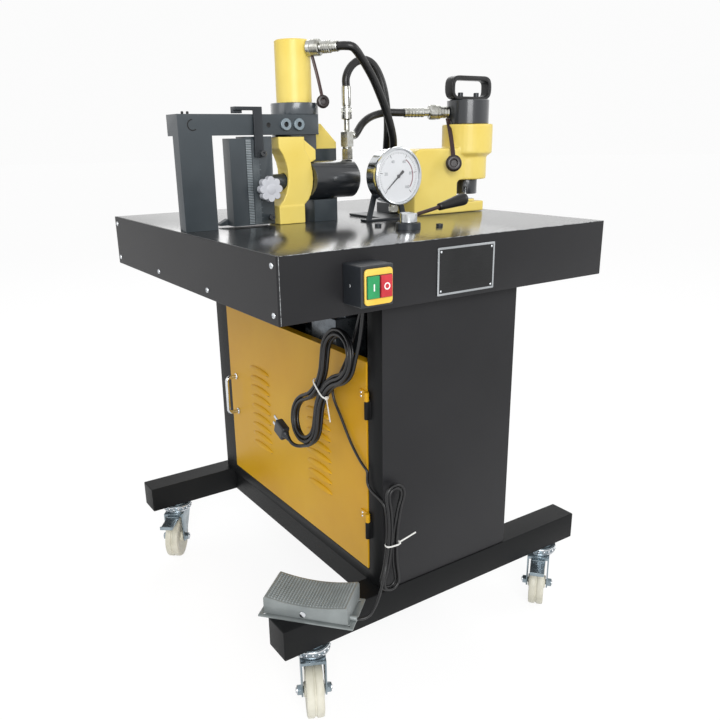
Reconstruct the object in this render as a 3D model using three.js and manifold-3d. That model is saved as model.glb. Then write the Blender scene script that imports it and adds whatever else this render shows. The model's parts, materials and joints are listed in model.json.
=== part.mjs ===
// Hydraulic busbar workbench: a table with a bender and cutter station, a punch head, a pressure
// gauge and a selector valve, on a cabinet with a yellow door, an H base and four casters.
// Millimetres. +X is the operator's right, +Y is away from the operator, +Z is up, the floor is 0.
import * as THREE from 'three';
import { mergeVertices, mergeGeometries } from 'three/addons/utils/BufferGeometryUtils.js';
import Module from 'manifold-3d';

// Clearances and the number of sides that all pieces share
const fit = 0.3;
const overrun = 2;
const turnFit = 0.6;
const roundSides = 24;
const smallSides = 16;
const smoothSides = 36;
const hexSides = 6;
const bendSteps = 6;

// Casters: 100 mm wheels on swivel forks
const wheelRadius = 50;
const wheelWidth = 32;
const grooveWidth = 5;
const grooveDepth = 3;
const hubWidth = 38;
const hubRadius = 14;
const rimInset = 4;
const rimRadius = 36;
const axleRadius = 6;
const nutRadius = 9.5;
const nutLength = 7;
const forkGap = 41;
const forkSheet = 3;
const forkTopWidth = 58;
const forkLow = 13;
const crownHeight = 6;
const wheelHeadroom = 11;
const raceRadius = 33;
const raceHeight = 17;
const topRaceRadius = 26;
const topRaceHeight = 3;
const trail = 28;
const brakeLength = 66;
const brakeWidth = 30;
const brakeSheet = 3;
const brakePad = 12;
const brakeGap = 4;
const brakeLip = 8;
const casterInset = 70.5;

// Base: two cross beams over the casters and two side rails
const beamOverhang = 8;
const beamTall = 59;
const beamDeep = 58.5;
const baseInset = 21;
const railWide = 58;
const railOut = 148;

// Table: a folded pan with a screwed left apron
const tableWidth = 727;
const tableDeep = 772;
const tableHeight = 850;
const skirt = 105;
const sheet = 4;
const screwRadius = 5;
const screwHead = 2.2;
const screwSide = 15;
const screwRowShares = [-1, -0.33, 0.33, 1];
const screwFlatShare = 0.7;

// Cabinet and door
const cabinetWidth = 314;
const cabinetInset = 24;
const cabinetRearInset = 56;
const wall = 3;
const frontPost = 44;
const rearPost = 60;
const postThick = 22;
const sill = 24;
const doorTall = 414;
const doorThick = 18;
const doorSheet = 2;
const doorGap = 2;
const doorProud = 1.5;
const louvreCount = 9;
const louvrePitch = 23;
const louvreLow = 105;
const louvreLong = 94;
const louvreHigh = 7;
const louvreProud = 4;
const louvreInset = 112;
const louvreSecond = 254;
const hingeRadius = 4.5;
const hingeTall = 34;
const hingeReach = 6;
const hingeLeaf = 3;
const lowHinge = 72;
const hingeDrop = 102;
const pullRadius = 4.5;
const pullTall = 98;
const pullReach = 26;
const pullInset = 34;
const pullLow = 153;

// Switch box and nameplate on the front apron
const switchX = -220;
const switchWide = 60;
const switchTall = 64;
const switchDeep = 52;
const switchTop = 20;
const plateThick = 4;
const plateMargin = 4;
const buttonWide = 21;
const buttonTall = 34;
const buttonProud = 4;
const buttonDeep = 8;
const buttonSplit = 3;
const buttonTravel = 3;
const nameX = 5;
const nameWide = 130;
const nameTall = 82;
const nameThick = 1.5;
const nameTop = 15;
const nameRim = 4;
const nameRecess = 0.7;

// Foot pedal, which rests on the front beam, turned towards the operator
const pedalAngle = -48.7;
const pedalX = -293;
const pedalInset = 34;
const pedalLong = 176;
const pedalDeep = 92;
const pedalSheet = 3;
const pedalEar = 9;
const pedalHole = 3;
const lidLong = 156;
const lidDeep = 84;
const lidGap = 4;
const lidWall = 3;
const lidEnd = 33;
const lidDip = 9;
const lidHollow = 13;
const lidCurveSteps = 12;
const pedalCoreTall = 12;
const pedalCoreGap = 5;
const pinRadius = 4.5;
const pinProud = 3;
const pinAlong = -4;
const pinHeight = 8.5;
const glandRadius = 4.6;
const glandLong = 12;
const glandGap = 1.4;

// Punch head at the right of the table
const punchX = 307;
const punchY = -45;
const punchThick = 60;
const punchBack = 170;
const punchJaw = 28;
const jawTall = 22;
const throatTall = 48;
const throatDeep = 51;
const throatRound = 10;
const punchTall = 137;
const backRound = 22;
const lowHeadRadius = 44;
const headRadius = 55.5;
const headStep = 48;
const headChamfer = 8;
const headTall = 186;
const dieRadius = 20;
const dieTall = 5;
const dieHole = 8;
const dieDepth = 22;
const ramRadius = 17;
const ramLong = 82;
const ramBoreDeep = 96;
const tipRadius = 7;
const tipLong = 16;
const tipGap = 12;
const stripperRadius = 25;
const stripperTall = 32;
const slotWide = 6;
const slotCount = 3;
const slotTurn = 135;
const punchCylRadius = 46;
const punchCylTall = 50;
const handleWide = 114;
const handleTall = 48;
const handleBand = 9;
const handleDeep = 24;
const handleFoot = 6;
const handleScrew = 5;
const handleScrewShare = 0.2;

// Quick couplers: the radii of their steps from the tool to the hose, and where each step ends
const punchStepRadii = [12.5, 15, 8, 10];
const punchStepShares = [0.19, 0.44, 0.56];
const cutterStepRadii = [15, 8, 11.5, 10];
const cutterStepShares = [0.42, 0.48, 0.76];
const stackStepRadii = [10.9, 9.5, 13.4, 5.6, 10.7, 8.3, 9.4];
const stackStepShares = [0.15, 0.18, 0.38, 0.555, 0.715, 0.74];
const punchPortDrop = 25;
const punchCouplerLong = 101;
const punchPortAngle = 160;
const cutterCouplerLong = 65;
const cutterPortDrop = 16;
const cutterPortAngle = -60;
const bendCouplerTall = 142;
const stackInset = 12;
const teeHeight = 44;
const teeLong = 16;
const teeRadius = 8.5;
const teeTurn = 25;
const teeRise = 8;

// Bender and cutter station at the left of the table
const stationFront = -24;
const columnX = -355;
const columnWide = 64;
const columnDeep = 28;
const barLow = 169;
const barTall = 37;
const barDeep = 52;
const tongueDeep = 15.5;
const tongueLong = 78;
const socketRadius = 11;
const socketProud = 4;
const socketBore = 5;
const socketPitch = 29;
const socketInset = 44;
const cutterX = -91;
const cutterY = 23;
const headLowRadius = 47;
const headLift = 140;
const headTop = 228;
const headFrontCut = 3;
const cutterRadius = 35;
const cutterTall = 114;
const cutterChamfer = 3;
const bladeWide = 38;
const bladeThick = 14;
const bladeTall = 84;
const bladeBack = 14;
const shearGap = 0.6;
const frameDeep = 43.5;
const frameLeft = -160;
const frameTall = 165;
const frameWide = 58;
const boreHeight = 81;
const bulge = 22;
const recess = 25;
const backShares = { bow: 1.3, low: 1.5, high: 1.5, tip: 0.2, shoulder: 0.7 };
const mouthShares = { tip: 0.25, shoulder: 0.6, bowHigh: 1.2, high: 1.4, bowLow: 1.25, low: 1.7 };
const footTall = 35;
const lugReach = 33;
const lugTall = 50;
const lugBack = 6;
const lugToeShare = 0.6;
const bendRamRadius = 15;
const bendRadius = 37.5;
const bendEnd = 28;
const bendChamfer = 6;
const saddleWide = 54;
const saddleDeep = 44;
const blockWide = 57;
const blockDeep = 50;
const blockTall = 141;
const wedgeTall = 49;
const wedgeToe = 12;
const wedgeTop = 20;
const lowBladeLong = 76;
const lowBladeTall = 22;
const lowBladeDeep = 30;
const channelX = -258;
const channelWide = 32;
const channelDeep = 30;
const slideLow = 3.5;
const slideTall = 163;
const toeLong = 16;
const toeDeep = 14;
const toeTall = 12;
const toeLip = 4;
const dieLeft = -225.5;
const dieWide = 56;
const dieThick = 40;
const dieDrop = 3;
const rulerWide = 12;
const combStep = 1.5;
const strapWide = 18;
const strapBand = 6;
const strapReach = 56;
const strapRise = 7;
const strapDrop = 40;
const strapFront = 5;
const strapGap = 1.5;
const strapInset = 21;
const knobX = -190;
const knobHeight = 71;
const knobRadius = 24;
const knobLobe = 3.5;
const knobLobes = 8;
const knobLobeSteps = 4;
const knobThick = 16;
const knobFront = 14;
const knobRear = 112;
const knobShaft = 5;

// Gauge, its bracket and the hose block behind it
const gaugeX = 48;
const gaugeFront = -140;
const gaugeLift = 88;
const bezelRadius = 56;
const bezelThick = 12;
const canRadius = 52;
const canDeep = 42;
const dialRadius = 50;
const dialDeep = 5;
const needleLong = 40;
const needleTail = 15;
const needleWide = 3;
const needleTip = 0.5;
const needleThick = 1;
const needleLift = 2;
const needleHub = 5;
const needleRest = 221;
const stemRadius = 8;
const stemLong = 70;
const legThick = 4;
const legSpread = 102;
const legTop = 66;
const legWide = 12;
const legTall = 62;
const footDeep = 22;
const linkWide = 60;
const hoseBlockX = 147;
const hoseBlockWide = 50;
const hoseBlockFront = -12;
const hoseBlockDeep = 54;
const hoseBlockTall = 24;

// Selector valve and its lever
const valveX = -12;
const valveY = -245;
const valveRadius = 23;
const valveTall = 12;
const hubTopRadius = 16.5;
const hubTall = 21;
const leverTilt = 10.7;
const leverReach = 56;
const leverRadius = 3.5;
const leverLift = 9;
const gripLong = 74;
const gripThin = 6.5;
const gripThick = 10.5;

// Pump unit in the cabinet
const tankWide = 220;
const tankDeep = 330;
const tankTall = 235;
const tankY = -110;
const motorRadius = 72;
const motorTall = 190;
const motorY = -20;
const riserWide = 60;
const valveBlockX = -96;
const valveBlockY = -130;
const valveBlockWide = 70;
const valveBlockDeep = 90;
const valveBlockLow = 150;
const valveBlockTall = 96;
const solenoidRadius = 17;
const solenoidTall = 62;
const solenoidPitch = 40;

// Cords and hoses. A hank is given by its two lobes, its half waist and the step between its runs
const hoseRadius = 8;
const hoseSides = 10;
const hoseStep = 32;
const hoseRise = 20;
const hoseStart = 14;
const mainsRadius = 3.5;
const mainsLobe = 52;
const mainsWaist = 20.5;
const mainsStep = 8.6;
const mainsTurns = 105;
const mainsStartShare = 0.075;
const mainsHighLobe = { out: 24.5, along: 62.5, drop: 138.7 };
const mainsLowLobe = { out: 46.5, along: 145.5, drop: 280.7 };
const plugPlace = { out: 70.5, along: 172.5, drop: 326.7 };
const plugRise = 21.7;
const mainsStartPull = 45;
const mainsEndPull = 14;
const footRadius = 2.6;
const footLobe = 22;
const footWaist = 11;
const footStep = 6.2;
const footTurns = 77;
const footStartShare = 0.13;
const footHighLobe = { aside: 24, out: 12, rise: 201.7 };
const footLowLobe = { aside: 12, out: 16, rise: 29.7 };
const leadRoute = [[3.5, 17.5, 53.7], [3.5, 46.5, 118.7], [3.5, 84.5, 178.7], [3.5, 112.5, 212.7],
  [4.5, 110.5, 233.7], [4.5, 84.5, 268.7], [5, 47.5, 312.7], [5, 18.5, 336.7]];
const footStartPull = 26;
const footEndPull = 30;
const leadDrop = 15;
const crossDrop = 360.7;
const crossRise = 12;
const cordSides = 8;
const cordStep = 11;
const hankSides = 6;
const hankSteps = 24;
const leadSteps = 7;
const climbShare = 0.25;
const gapSteps = 6;
const gapReach = 10;
const boxWide = 38;
const boxDeep = 55;
const boxTall = 45;
const noseWide = 13;
const noseDeep = 16;
const noseTall = 22;
const plugBoot = 14;
const plugBootRadius = 5.5;
const plugLong = 34;
const plugWide = 30;
const plugThick = 17;
const pinLong = 17;
const pinWide = 6.5;
const pinThick = 2;
const pinPitch = 8;

const wholeTurn = 360;
const radians = 2 * Math.PI / wholeTurn;
const kernel = await Module();
kernel.setup();

// Solid geometry helpers: three.js shapes go in, closed bodies come out
function solid(geometry) {
  const bare = new THREE.BufferGeometry();
  bare.setAttribute('position', geometry.getAttribute('position'));
  if (geometry.index) bare.setIndex(geometry.index);
  const welded = mergeVertices(bare, 1e-4);
  return new kernel.Manifold(new kernel.Mesh({
    numProp: 3,
    vertProperties: new Float32Array(welded.getAttribute('position').array),
    triVerts: new Uint32Array(welded.index.array),
  }));
}

const join = (first, ...others) => others.reduce((all, next) => all.add(next), first);
const cut = (first, ...others) => others.reduce((left, next) => left.subtract(next), first);

function box(x0, x1, y0, y1, z0, z1) {
  const shape = new THREE.BoxGeometry(x1 - x0, y1 - y0, z1 - z0);
  shape.translate((x0 + x1) / 2, (y0 + y1) / 2, (z0 + z1) / 2);
  return solid(shape);
}

// A round bar from one point along an axis letter, with a start and an end radius
function rod(axis, from, length, r0, r1 = r0, sides = roundSides) {
  const shape = new THREE.CylinderGeometry(r1, r0, length, sides);
  shape.translate(0, length / 2, 0);
  if (axis === 'z') shape.rotateX(Math.PI / 2);
  if (axis === 'x') shape.rotateZ(-Math.PI / 2);
  shape.translate(...from);
  return solid(shape);
}

// A turned piece: pairs of radius and height, closed on the axis or on itself
function turned(pairs, centre, axis = 'z', sides = roundSides) {
  const shape = new THREE.LatheGeometry(pairs.map(([r, h]) => new THREE.Vector2(r, h)), sides);
  if (axis === 'z') shape.rotateX(Math.PI / 2);
  if (axis === 'x') shape.rotateZ(-Math.PI / 2);
  shape.translate(...centre);
  const bare = new THREE.BufferGeometry();
  bare.setAttribute('position', shape.getAttribute('position'));
  bare.setIndex(shape.index);
  const welded = mergeVertices(bare, 1e-4);
  const index = [];
  for (let i = 0; i < welded.index.count; i += 3) {
    const [a, b, c] = [0, 1, 2].map((k) => welded.index.getX(i + k));
    if (a !== b && b !== c && c !== a) index.push(a, b, c);
  }
  welded.setIndex(index);
  const body = solid(welded);
  return body.volume() < 0 ? solid(flip(welded)) : body;
}

function flip(geometry) {
  const order = geometry.index.array;
  const turnedOrder = [];
  for (let i = 0; i < order.length; i += 3) turnedOrder.push(order[i], order[i + 2], order[i + 1]);
  geometry.setIndex(turnedOrder);
  return geometry;
}

// A plate whose outline lies in X and Z and that runs along +Y from y0
function plateY(outline, y0, thick, curveSegments = 8) {
  const shape = outline instanceof THREE.Shape ? outline
    : new THREE.Shape(outline.map(([x, z]) => new THREE.Vector2(x, z)));
  const body = new THREE.ExtrudeGeometry(shape, { depth: thick, bevelEnabled: false, curveSegments });
  body.rotateX(Math.PI / 2);
  body.translate(0, y0 + thick, 0);
  return solid(body);
}

// A plate whose outline lies in X and Y and that rises from z0
function plateZ(shape, z0, thick, curveSegments = 8) {
  const body = new THREE.ExtrudeGeometry(shape, { depth: thick, bevelEnabled: false, curveSegments });
  body.translate(0, 0, z0);
  return solid(body);
}

const part = new THREE.Group();
part.name = 'busbar_punching_machine';

function finish(name, body, color, roughness, metalness) {
  const mesh = body.getMesh();
  const geometry = new THREE.BufferGeometry();
  geometry.setAttribute('position', new THREE.BufferAttribute(new Float32Array(mesh.vertProperties), 3));
  geometry.setIndex(new THREE.BufferAttribute(new Uint32Array(mesh.triVerts), 1));
  geometry.computeVertexNormals();
  const material = new THREE.MeshStandardMaterial({ color, roughness, metalness });
  const piece = new THREE.Mesh(geometry, material);
  piece.name = name;
  part.add(piece);
  return piece;
}

const black = [0x25272a, 0.55, 0.2];
const toolBlack = [0x2c2f33, 0.45, 0.4];
const yellow = [0xf0dc6e, 0.45, 0.1];
const doorYellow = [0xc39a35, 0.5, 0.1];
const chrome = [0xc9ccd0, 0.22, 1.0];
const zinc = [0x9aa3a6, 0.35, 0.9];
const cream = [0xe9e4d3, 0.5, 0.0];
const pedalGrey = [0x8f9698, 0.45, 0.6];
const rubber = [0x161617, 0.7, 0.0];

// Heights and places that several pieces share
const beamLow = 2 * wheelRadius + wheelHeadroom + crownHeight + raceHeight + topRaceHeight + fit;
const beamTop = beamLow + beamTall;
const baseDeep = tableDeep - 2 * baseInset;
const beamLength = tableWidth + 2 * beamOverhang;
const beamFront = -baseDeep / 2;
const casterX = beamLength / 2 - casterInset;
const casterY = baseDeep / 2 - beamDeep / 2;
const halfWidth = tableWidth / 2;
const halfDeep = tableDeep / 2;
const skirtLow = tableHeight - skirt;
const bench = tableHeight + fit;

// H base
const railEnd = baseDeep / 2 - beamDeep - fit;
finish('front_beam', box(-beamLength / 2, beamLength / 2, beamFront, beamFront + beamDeep, beamLow, beamTop),
  ...black);
finish('rear_beam', box(-beamLength / 2, beamLength / 2, -beamFront - beamDeep, -beamFront, beamLow, beamTop),
  ...black);
finish('left_rail', box(-railOut, -railOut + railWide, -railEnd, railEnd, beamLow, beamTop), ...black);
finish('right_rail', box(railOut - railWide, railOut, -railEnd, railEnd, beamLow, beamTop), ...black);

// Casters: fork and wheel, and a brake on two of them. Each is made trailing towards +X, then turned
const crownLow = 2 * wheelRadius + wheelHeadroom;
function caster(prefix, x, y, heading, braked) {
  const place = (body) => body.rotate([0, 0, heading]).translate([x, y, 0]);
  const crownTop = crownLow + crownHeight;
  const half = forkGap / 2;
  const legShape = [
    [-forkTopWidth / 2, crownTop], [trail + forkLow, crownTop], [trail + forkLow, wheelRadius],
    [trail + forkLow * Math.SQRT1_2, wheelRadius - forkLow * Math.SQRT1_2], [trail, wheelRadius - forkLow],
    [trail - forkLow * Math.SQRT1_2, wheelRadius - forkLow * Math.SQRT1_2], [trail - forkLow, wheelRadius],
    [-forkTopWidth / 2, crownLow - crownHeight],
  ];
  const leg = (side) => plateY(legShape, side > 0 ? half : -half - forkSheet, forkSheet);
  const axleLong = forkGap + 2 * forkSheet + 2 * nutLength;
  const nut = (y) => rod('y', [trail, y, wheelRadius], forkSheet + nutLength - fit, nutRadius, nutRadius,
    hexSides);
  const fork = join(
    leg(1), leg(-1),
    box(-forkTopWidth / 2, trail + forkLow, -half - forkSheet, half + forkSheet, crownLow, crownTop),
    rod('z', [0, 0, crownTop - fit], raceHeight + fit, raceRadius),
    rod('z', [0, 0, crownTop + raceHeight - fit], topRaceHeight + fit, topRaceRadius),
    rod('y', [trail, -axleLong / 2, wheelRadius], axleLong, axleRadius, axleRadius, smallSides),
    nut(half + fit), nut(-axleLong / 2),
  );
  finish(`${prefix}_fork`, place(fork), ...zinc);
  const bore = axleRadius + turnFit;
  const w = wheelWidth / 2;
  const wheel = turned([
    [bore, -hubWidth / 2], [hubRadius, -hubWidth / 2], [hubRadius, -w + rimInset], [rimRadius, -w],
    [wheelRadius - grooveDepth, -w], [wheelRadius, -w + grooveDepth], [wheelRadius, -grooveWidth / 2],
    [wheelRadius - grooveDepth, 0], [wheelRadius, grooveWidth / 2], [wheelRadius, w - grooveDepth],
    [wheelRadius - grooveDepth, w], [rimRadius, w], [hubRadius, w - rimInset], [hubRadius, hubWidth / 2],
    [bore, hubWidth / 2], [bore, -hubWidth / 2],
  ], [trail, 0, wheelRadius], 'y');
  finish(`${prefix}_wheel`, place(wheel), ...cream);
  if (!braked) return;
  const start = trail + forkLow + fit;
  const low = crownLow - brakeSheet;
  const brake = join(
    box(start, start + brakeLength - brakeGap, -brakeWidth / 2, brakeWidth / 2, low, low + brakeSheet),
    box(start + brakeLength - brakeGap - brakeSheet, start + brakeLength - brakeGap,
      -brakeWidth / 2, brakeWidth / 2, low, low + brakeLip),
    rod('y', [start + brakeSheet, -brakeWidth / 2, low + brakeSheet / 2], brakeWidth, brakeSheet, brakeSheet,
      smallSides),
    box(start, start + brakePad, -brakeWidth / 2 + brakeGap, brakeWidth / 2 - brakeGap, low - brakeGap,
      low + fit),
  );
  finish(`${prefix}_brake`, place(brake), ...zinc);
}
const casterHeadings = { frontLeft: -116, frontRight: -140, rearLeft: -127, rearRight: 48 };
caster('front_left', -casterX, -casterY, casterHeadings.frontLeft, false);
caster('front_right', casterX, -casterY, casterHeadings.frontRight, true);
caster('rear_left', -casterX, casterY, casterHeadings.rearLeft, true);
caster('rear_right', casterX, casterY, casterHeadings.rearRight, false);

// Table pan: the top with front, rear and right aprons folded down, and the screwed left apron
const panLeft = -halfWidth + sheet + fit;
finish('table_top', cut(
  box(panLeft, halfWidth, -halfDeep, halfDeep, skirtLow, tableHeight),
  box(panLeft - overrun, halfWidth - sheet, -halfDeep + sheet, halfDeep - sheet, skirtLow - overrun,
    tableHeight - sheet),
), ...black);
const screwPlaces = [];
for (const row of [screwSide, skirt - screwSide]) {
  for (const share of screwRowShares) screwPlaces.push([share * (halfDeep - screwSide), skirtLow + row]);
}
finish('left_apron', join(
  box(-halfWidth, -halfWidth + sheet, -halfDeep, halfDeep, skirtLow, tableHeight),
  ...screwPlaces.map(([y, z]) => rod('x', [-halfWidth - screwHead, y, z], screwHead + fit,
    screwRadius * screwFlatShare, screwRadius, smallSides)),
), ...black);

// Cabinet shell: open at the left, where the door closes its lower part
const half = cabinetWidth / 2;
const cabinetFront = -halfDeep + cabinetInset;
const cabinetDeep = tableDeep - cabinetInset - cabinetRearInset;
const cabinetRear = cabinetFront + cabinetDeep;
const cabinetLow = beamTop + fit;
const cabinetTop = tableHeight - sheet - fit;
const openFront = cabinetFront + frontPost;
const openRear = cabinetRear - rearPost;
const openLow = cabinetLow + sill;
const hingeX = -half - hingeReach;
const hingeY = openFront - hingeRadius;
const highHinge = doorTall - hingeDrop;
const hingeBarrel = (z) => join(
  rod('z', [hingeX, hingeY, z], hingeTall, hingeRadius, hingeRadius, smallSides),
  box(hingeX, -half + overrun, hingeY - hingeRadius, hingeY - hingeRadius + hingeLeaf, z, z + hingeTall),
);
finish('cabinet_shell', join(
  cut(
    box(-half, half, cabinetFront, cabinetRear, cabinetLow, cabinetTop),
    box(-half + wall, half - wall, cabinetFront + wall, cabinetRear - wall, cabinetLow + wall,
      cabinetTop + overrun),
    box(-half - overrun, -half + wall + overrun, openFront, openRear, openLow, cabinetTop + overrun),
  ),
  box(-half + wall - fit, -half + postThick, cabinetFront + wall - fit, openFront, cabinetLow + wall - fit,
    cabinetTop),
  box(-half + wall - fit, -half + postThick, openRear, cabinetRear - wall + fit, cabinetLow + wall - fit,
    cabinetTop),
  hingeBarrel(openLow + lowHinge), hingeBarrel(openLow + highHinge),
), ...black);

// Door: a folded pan with two columns of louvres, and knuckles over the fixed hinge barrels
const doorFront = openFront + doorGap;
const doorRear = openRear - doorGap;
const doorLow = openLow + doorGap;
const doorFace = -half - doorProud;
const louvres = [];
for (const inset of [louvreInset, louvreInset + louvreSecond]) {
  for (let row = 0; row < louvreCount; row += 1) {
    const z = doorLow + louvreLow + row * louvrePitch;
    const y = doorRear - inset;
    const profile = [[doorFace + fit, z], [doorFace - louvreProud, z], [doorFace + fit, z + louvreHigh]];
    louvres.push(plateY(profile, y - louvreLong, louvreLong));
  }
}
const knuckle = (z) => join(
  rod('z', [hingeX, hingeY, z + hingeTall + fit], hingeTall / 2, hingeRadius, hingeRadius, smallSides),
  box(doorFace - hingeLeaf, doorFace + fit, hingeY, doorFront + hingeTall / 2, z + hingeTall + fit,
    z + hingeTall + hingeTall / 2 + fit),
);
finish('left_door', join(
  cut(
    box(doorFace, doorFace + doorThick, doorFront, doorRear, doorLow, doorLow + doorTall),
    box(doorFace + doorSheet, doorFace + doorThick + overrun, doorFront + doorSheet, doorRear - doorSheet,
      doorLow + doorSheet, doorLow + doorTall - doorSheet),
  ),
  ...louvres, knuckle(openLow + lowHinge), knuckle(openLow + highHinge),
), ...doorYellow);

const pullX = doorFace - pullReach;
const pullZ = doorLow + pullLow;
const pullY = doorRear - pullInset;
const pullFoot = (z) => rod('x', [pullX, pullY, z], pullReach - fit, pullRadius, pullRadius, smallSides);
finish('door_handle', join(
  rod('z', [pullX, pullY, pullZ], pullTall, pullRadius, pullRadius, smallSides),
  pullFoot(pullZ + 2 * pullRadius), pullFoot(pullZ + pullTall - 2 * pullRadius),
), ...chrome);

// Switch box with its plate, two buttons and the bare nameplate
const switchLow = tableHeight - switchTop - switchTall;
const switchFace = -halfDeep - switchDeep;
const buttonZ = switchLow + switchTall / 2;
const buttonBox = (side, grow, y0, y1) => {
  const x = switchX + side * (buttonWide + buttonSplit) / 2;
  return box(x - buttonWide / 2 - grow, x + buttonWide / 2 + grow, y0, y1, buttonZ - buttonTall / 2 - grow,
    buttonZ + buttonTall / 2 + grow);
};
const pocketBack = switchFace - plateThick + buttonDeep + buttonTravel;
finish('switch_box', cut(
  join(
    box(switchX - switchWide / 2, switchX + switchWide / 2, switchFace, -halfDeep - fit, switchLow,
      switchLow + switchTall),
    box(switchX - switchWide / 2 + plateMargin, switchX + switchWide / 2 - plateMargin,
      switchFace - plateThick, switchFace + fit, switchLow + plateMargin,
      switchLow + switchTall - plateMargin),
  ),
  ...[-1, 1].map((side) => buttonBox(side, fit, switchFace - plateThick - overrun, pocketBack)),
), ...black);
const buttonFront = switchFace - plateThick - buttonProud;
finish('start_button', buttonBox(-1, 0, buttonFront, pocketBack - buttonTravel - fit), 0x2f9a62, 0.4, 0);
finish('stop_button', buttonBox(1, 0, buttonFront, pocketBack - buttonTravel - fit), 0xc23a45, 0.4, 0);
const nameLow = tableHeight - nameTop - nameTall;
finish('nameplate', cut(
  box(nameX - nameWide / 2, nameX + nameWide / 2, -halfDeep - nameThick - fit, -halfDeep - fit, nameLow,
    nameLow + nameTall),
  box(nameX - nameWide / 2 + nameRim, nameX + nameWide / 2 - nameRim, -halfDeep - nameThick - overrun,
    -halfDeep - nameThick + nameRecess - fit, nameLow + nameRim, nameLow + nameTall - nameRim),
), 0xb9bcc0, 0.35, 0.9);

// Foot pedal, made along X about its own centre, then turned and set on the front beam
const pedalY = beamFront + pedalInset;
const pedalPlace = (body) => body.rotate([0, 0, pedalAngle]).translate([pedalX, pedalY, beamTop + fit]);
const lidLow = pedalSheet + lidGap;
const ear = (sx, sy) => rod('z', [sx * (pedalLong / 2 - pedalEar), sy * (pedalDeep / 2 - pedalEar), -overrun],
  pedalSheet + 2 * overrun, pedalHole, pedalHole, smallSides);
const coreLong = lidLong - 2 * lidWall - 2 * pedalCoreGap;
const coreDeep = lidDeep - 2 * lidWall - 2 * glandGap;
const glandZ = pedalSheet + glandRadius + fit;
finish('pedal_base', pedalPlace(join(
  cut(
    box(-pedalLong / 2, pedalLong / 2, -pedalDeep / 2, pedalDeep / 2, 0, pedalSheet),
    ear(1, 1), ear(1, -1), ear(-1, 1), ear(-1, -1),
  ),
  cut(
    box(-coreLong / 2, coreLong / 2, -coreDeep / 2, coreDeep / 2, pedalSheet - fit,
      pedalSheet + pedalCoreTall),
    rod('y', [pinAlong, -pedalDeep, lidLow + pinHeight], 2 * pedalDeep, pinRadius + turnFit,
      pinRadius + turnFit, smallSides),
  ),
  rod('x', [coreLong / 2 - overrun, -lidDeep / 4, glandZ], lidLong / 2 - coreLong / 2 + glandLong + overrun,
    glandRadius, glandRadius, smallSides),
)), ...pedalGrey);
const lidShape = new THREE.Shape();
lidShape.moveTo(-lidLong / 2, lidLow);
lidShape.lineTo(lidLong / 2, lidLow);
lidShape.lineTo(lidLong / 2, lidLow + lidEnd - lidWall);
lidShape.lineTo(lidLong / 2 - lidWall, lidLow + lidEnd);
lidShape.quadraticCurveTo(0, lidLow + lidEnd - 2 * lidDip, -lidLong / 2 + lidWall, lidLow + lidEnd);
lidShape.lineTo(-lidLong / 2, lidLow + lidEnd - lidWall);
lidShape.closePath();
finish('pedal_treadle', pedalPlace(join(
  cut(
    plateY(lidShape, -lidDeep / 2, lidDeep, lidCurveSteps),
    box(-lidLong / 2 + lidWall, lidLong / 2 - lidWall, -lidDeep / 2 + lidWall, lidDeep / 2 - lidWall,
      lidLow - overrun, lidLow + lidHollow),
    box(lidLong / 2 - lidWall - overrun, lidLong / 2 + overrun, -lidDeep / 4 - glandRadius - glandGap,
      -lidDeep / 4 + glandRadius + glandGap, lidLow - overrun, glandZ + glandRadius + lidGap),
  ),
  rod('y', [pinAlong, -lidDeep / 2 - pinProud, lidLow + pinHeight], lidDeep + 2 * pinProud, pinRadius,
    pinRadius, smallSides),
)), ...pedalGrey);

// Punch head: a C frame that opens to the right, with the cylinder over its ram and die
const punchFront = punchY - punchThick / 2;
const frameBack = punchX - punchBack;
const jawRight = punchX + punchJaw;
const jawTop = bench + jawTall;
const throatTop = jawTop + throatTall;
const throatX = punchX - throatDeep;
const cShape = new THREE.Shape();
cShape.moveTo(frameBack, bench);
cShape.lineTo(jawRight, bench);
cShape.lineTo(jawRight, jawTop);
cShape.lineTo(throatX + throatRound, jawTop);
cShape.quadraticCurveTo(throatX, jawTop, throatX, jawTop + throatRound);
cShape.lineTo(throatX, throatTop - throatRound);
cShape.quadraticCurveTo(throatX, throatTop, throatX + throatRound, throatTop);
cShape.lineTo(punchX, throatTop);
cShape.lineTo(punchX, bench + punchTall);
cShape.lineTo(frameBack + backRound, bench + punchTall);
cShape.quadraticCurveTo(frameBack, bench + punchTall, frameBack, bench + punchTall - backRound);
cShape.closePath();
const stepZ = throatTop + headStep;
const headTopZ = bench + headTall;
const ramBore = ramRadius + turnFit;
finish('punch_frame', cut(
  join(
    plateY(cShape, punchFront, punchThick, bendSteps),
    turned([[0, throatTop], [lowHeadRadius, throatTop], [lowHeadRadius, stepZ],
      [headRadius, stepZ + headChamfer], [headRadius, headTopZ], [0, headTopZ]], [punchX, punchY, 0], 'z',
    smoothSides),
    rod('z', [punchX, punchY, jawTop - overrun], dieTall + overrun, dieRadius),
  ),
  rod('z', [punchX, punchY, throatTop - overrun], ramBoreDeep + overrun, ramBore),
  rod('z', [punchX, punchY, jawTop + dieTall - dieDepth], dieDepth + overrun, dieHole),
), ...yellow);
const cylinderLow = headTopZ + fit;
finish('punch_cylinder', rod('z', [punchX, punchY, cylinderLow], punchCylTall, punchCylRadius,
  punchCylRadius, smoothSides), ...toolBlack);
const tipLow = jawTop + dieTall + tipGap;
finish('punch_ram', join(
  rod('z', [punchX, punchY, tipLow], tipLong + fit, tipRadius, tipRadius, smallSides),
  rod('z', [punchX, punchY, tipLow + tipLong], ramLong, ramRadius),
), ...chrome);
const stripperLow = throatTop - fit - stripperTall;
const slots = [];
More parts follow.
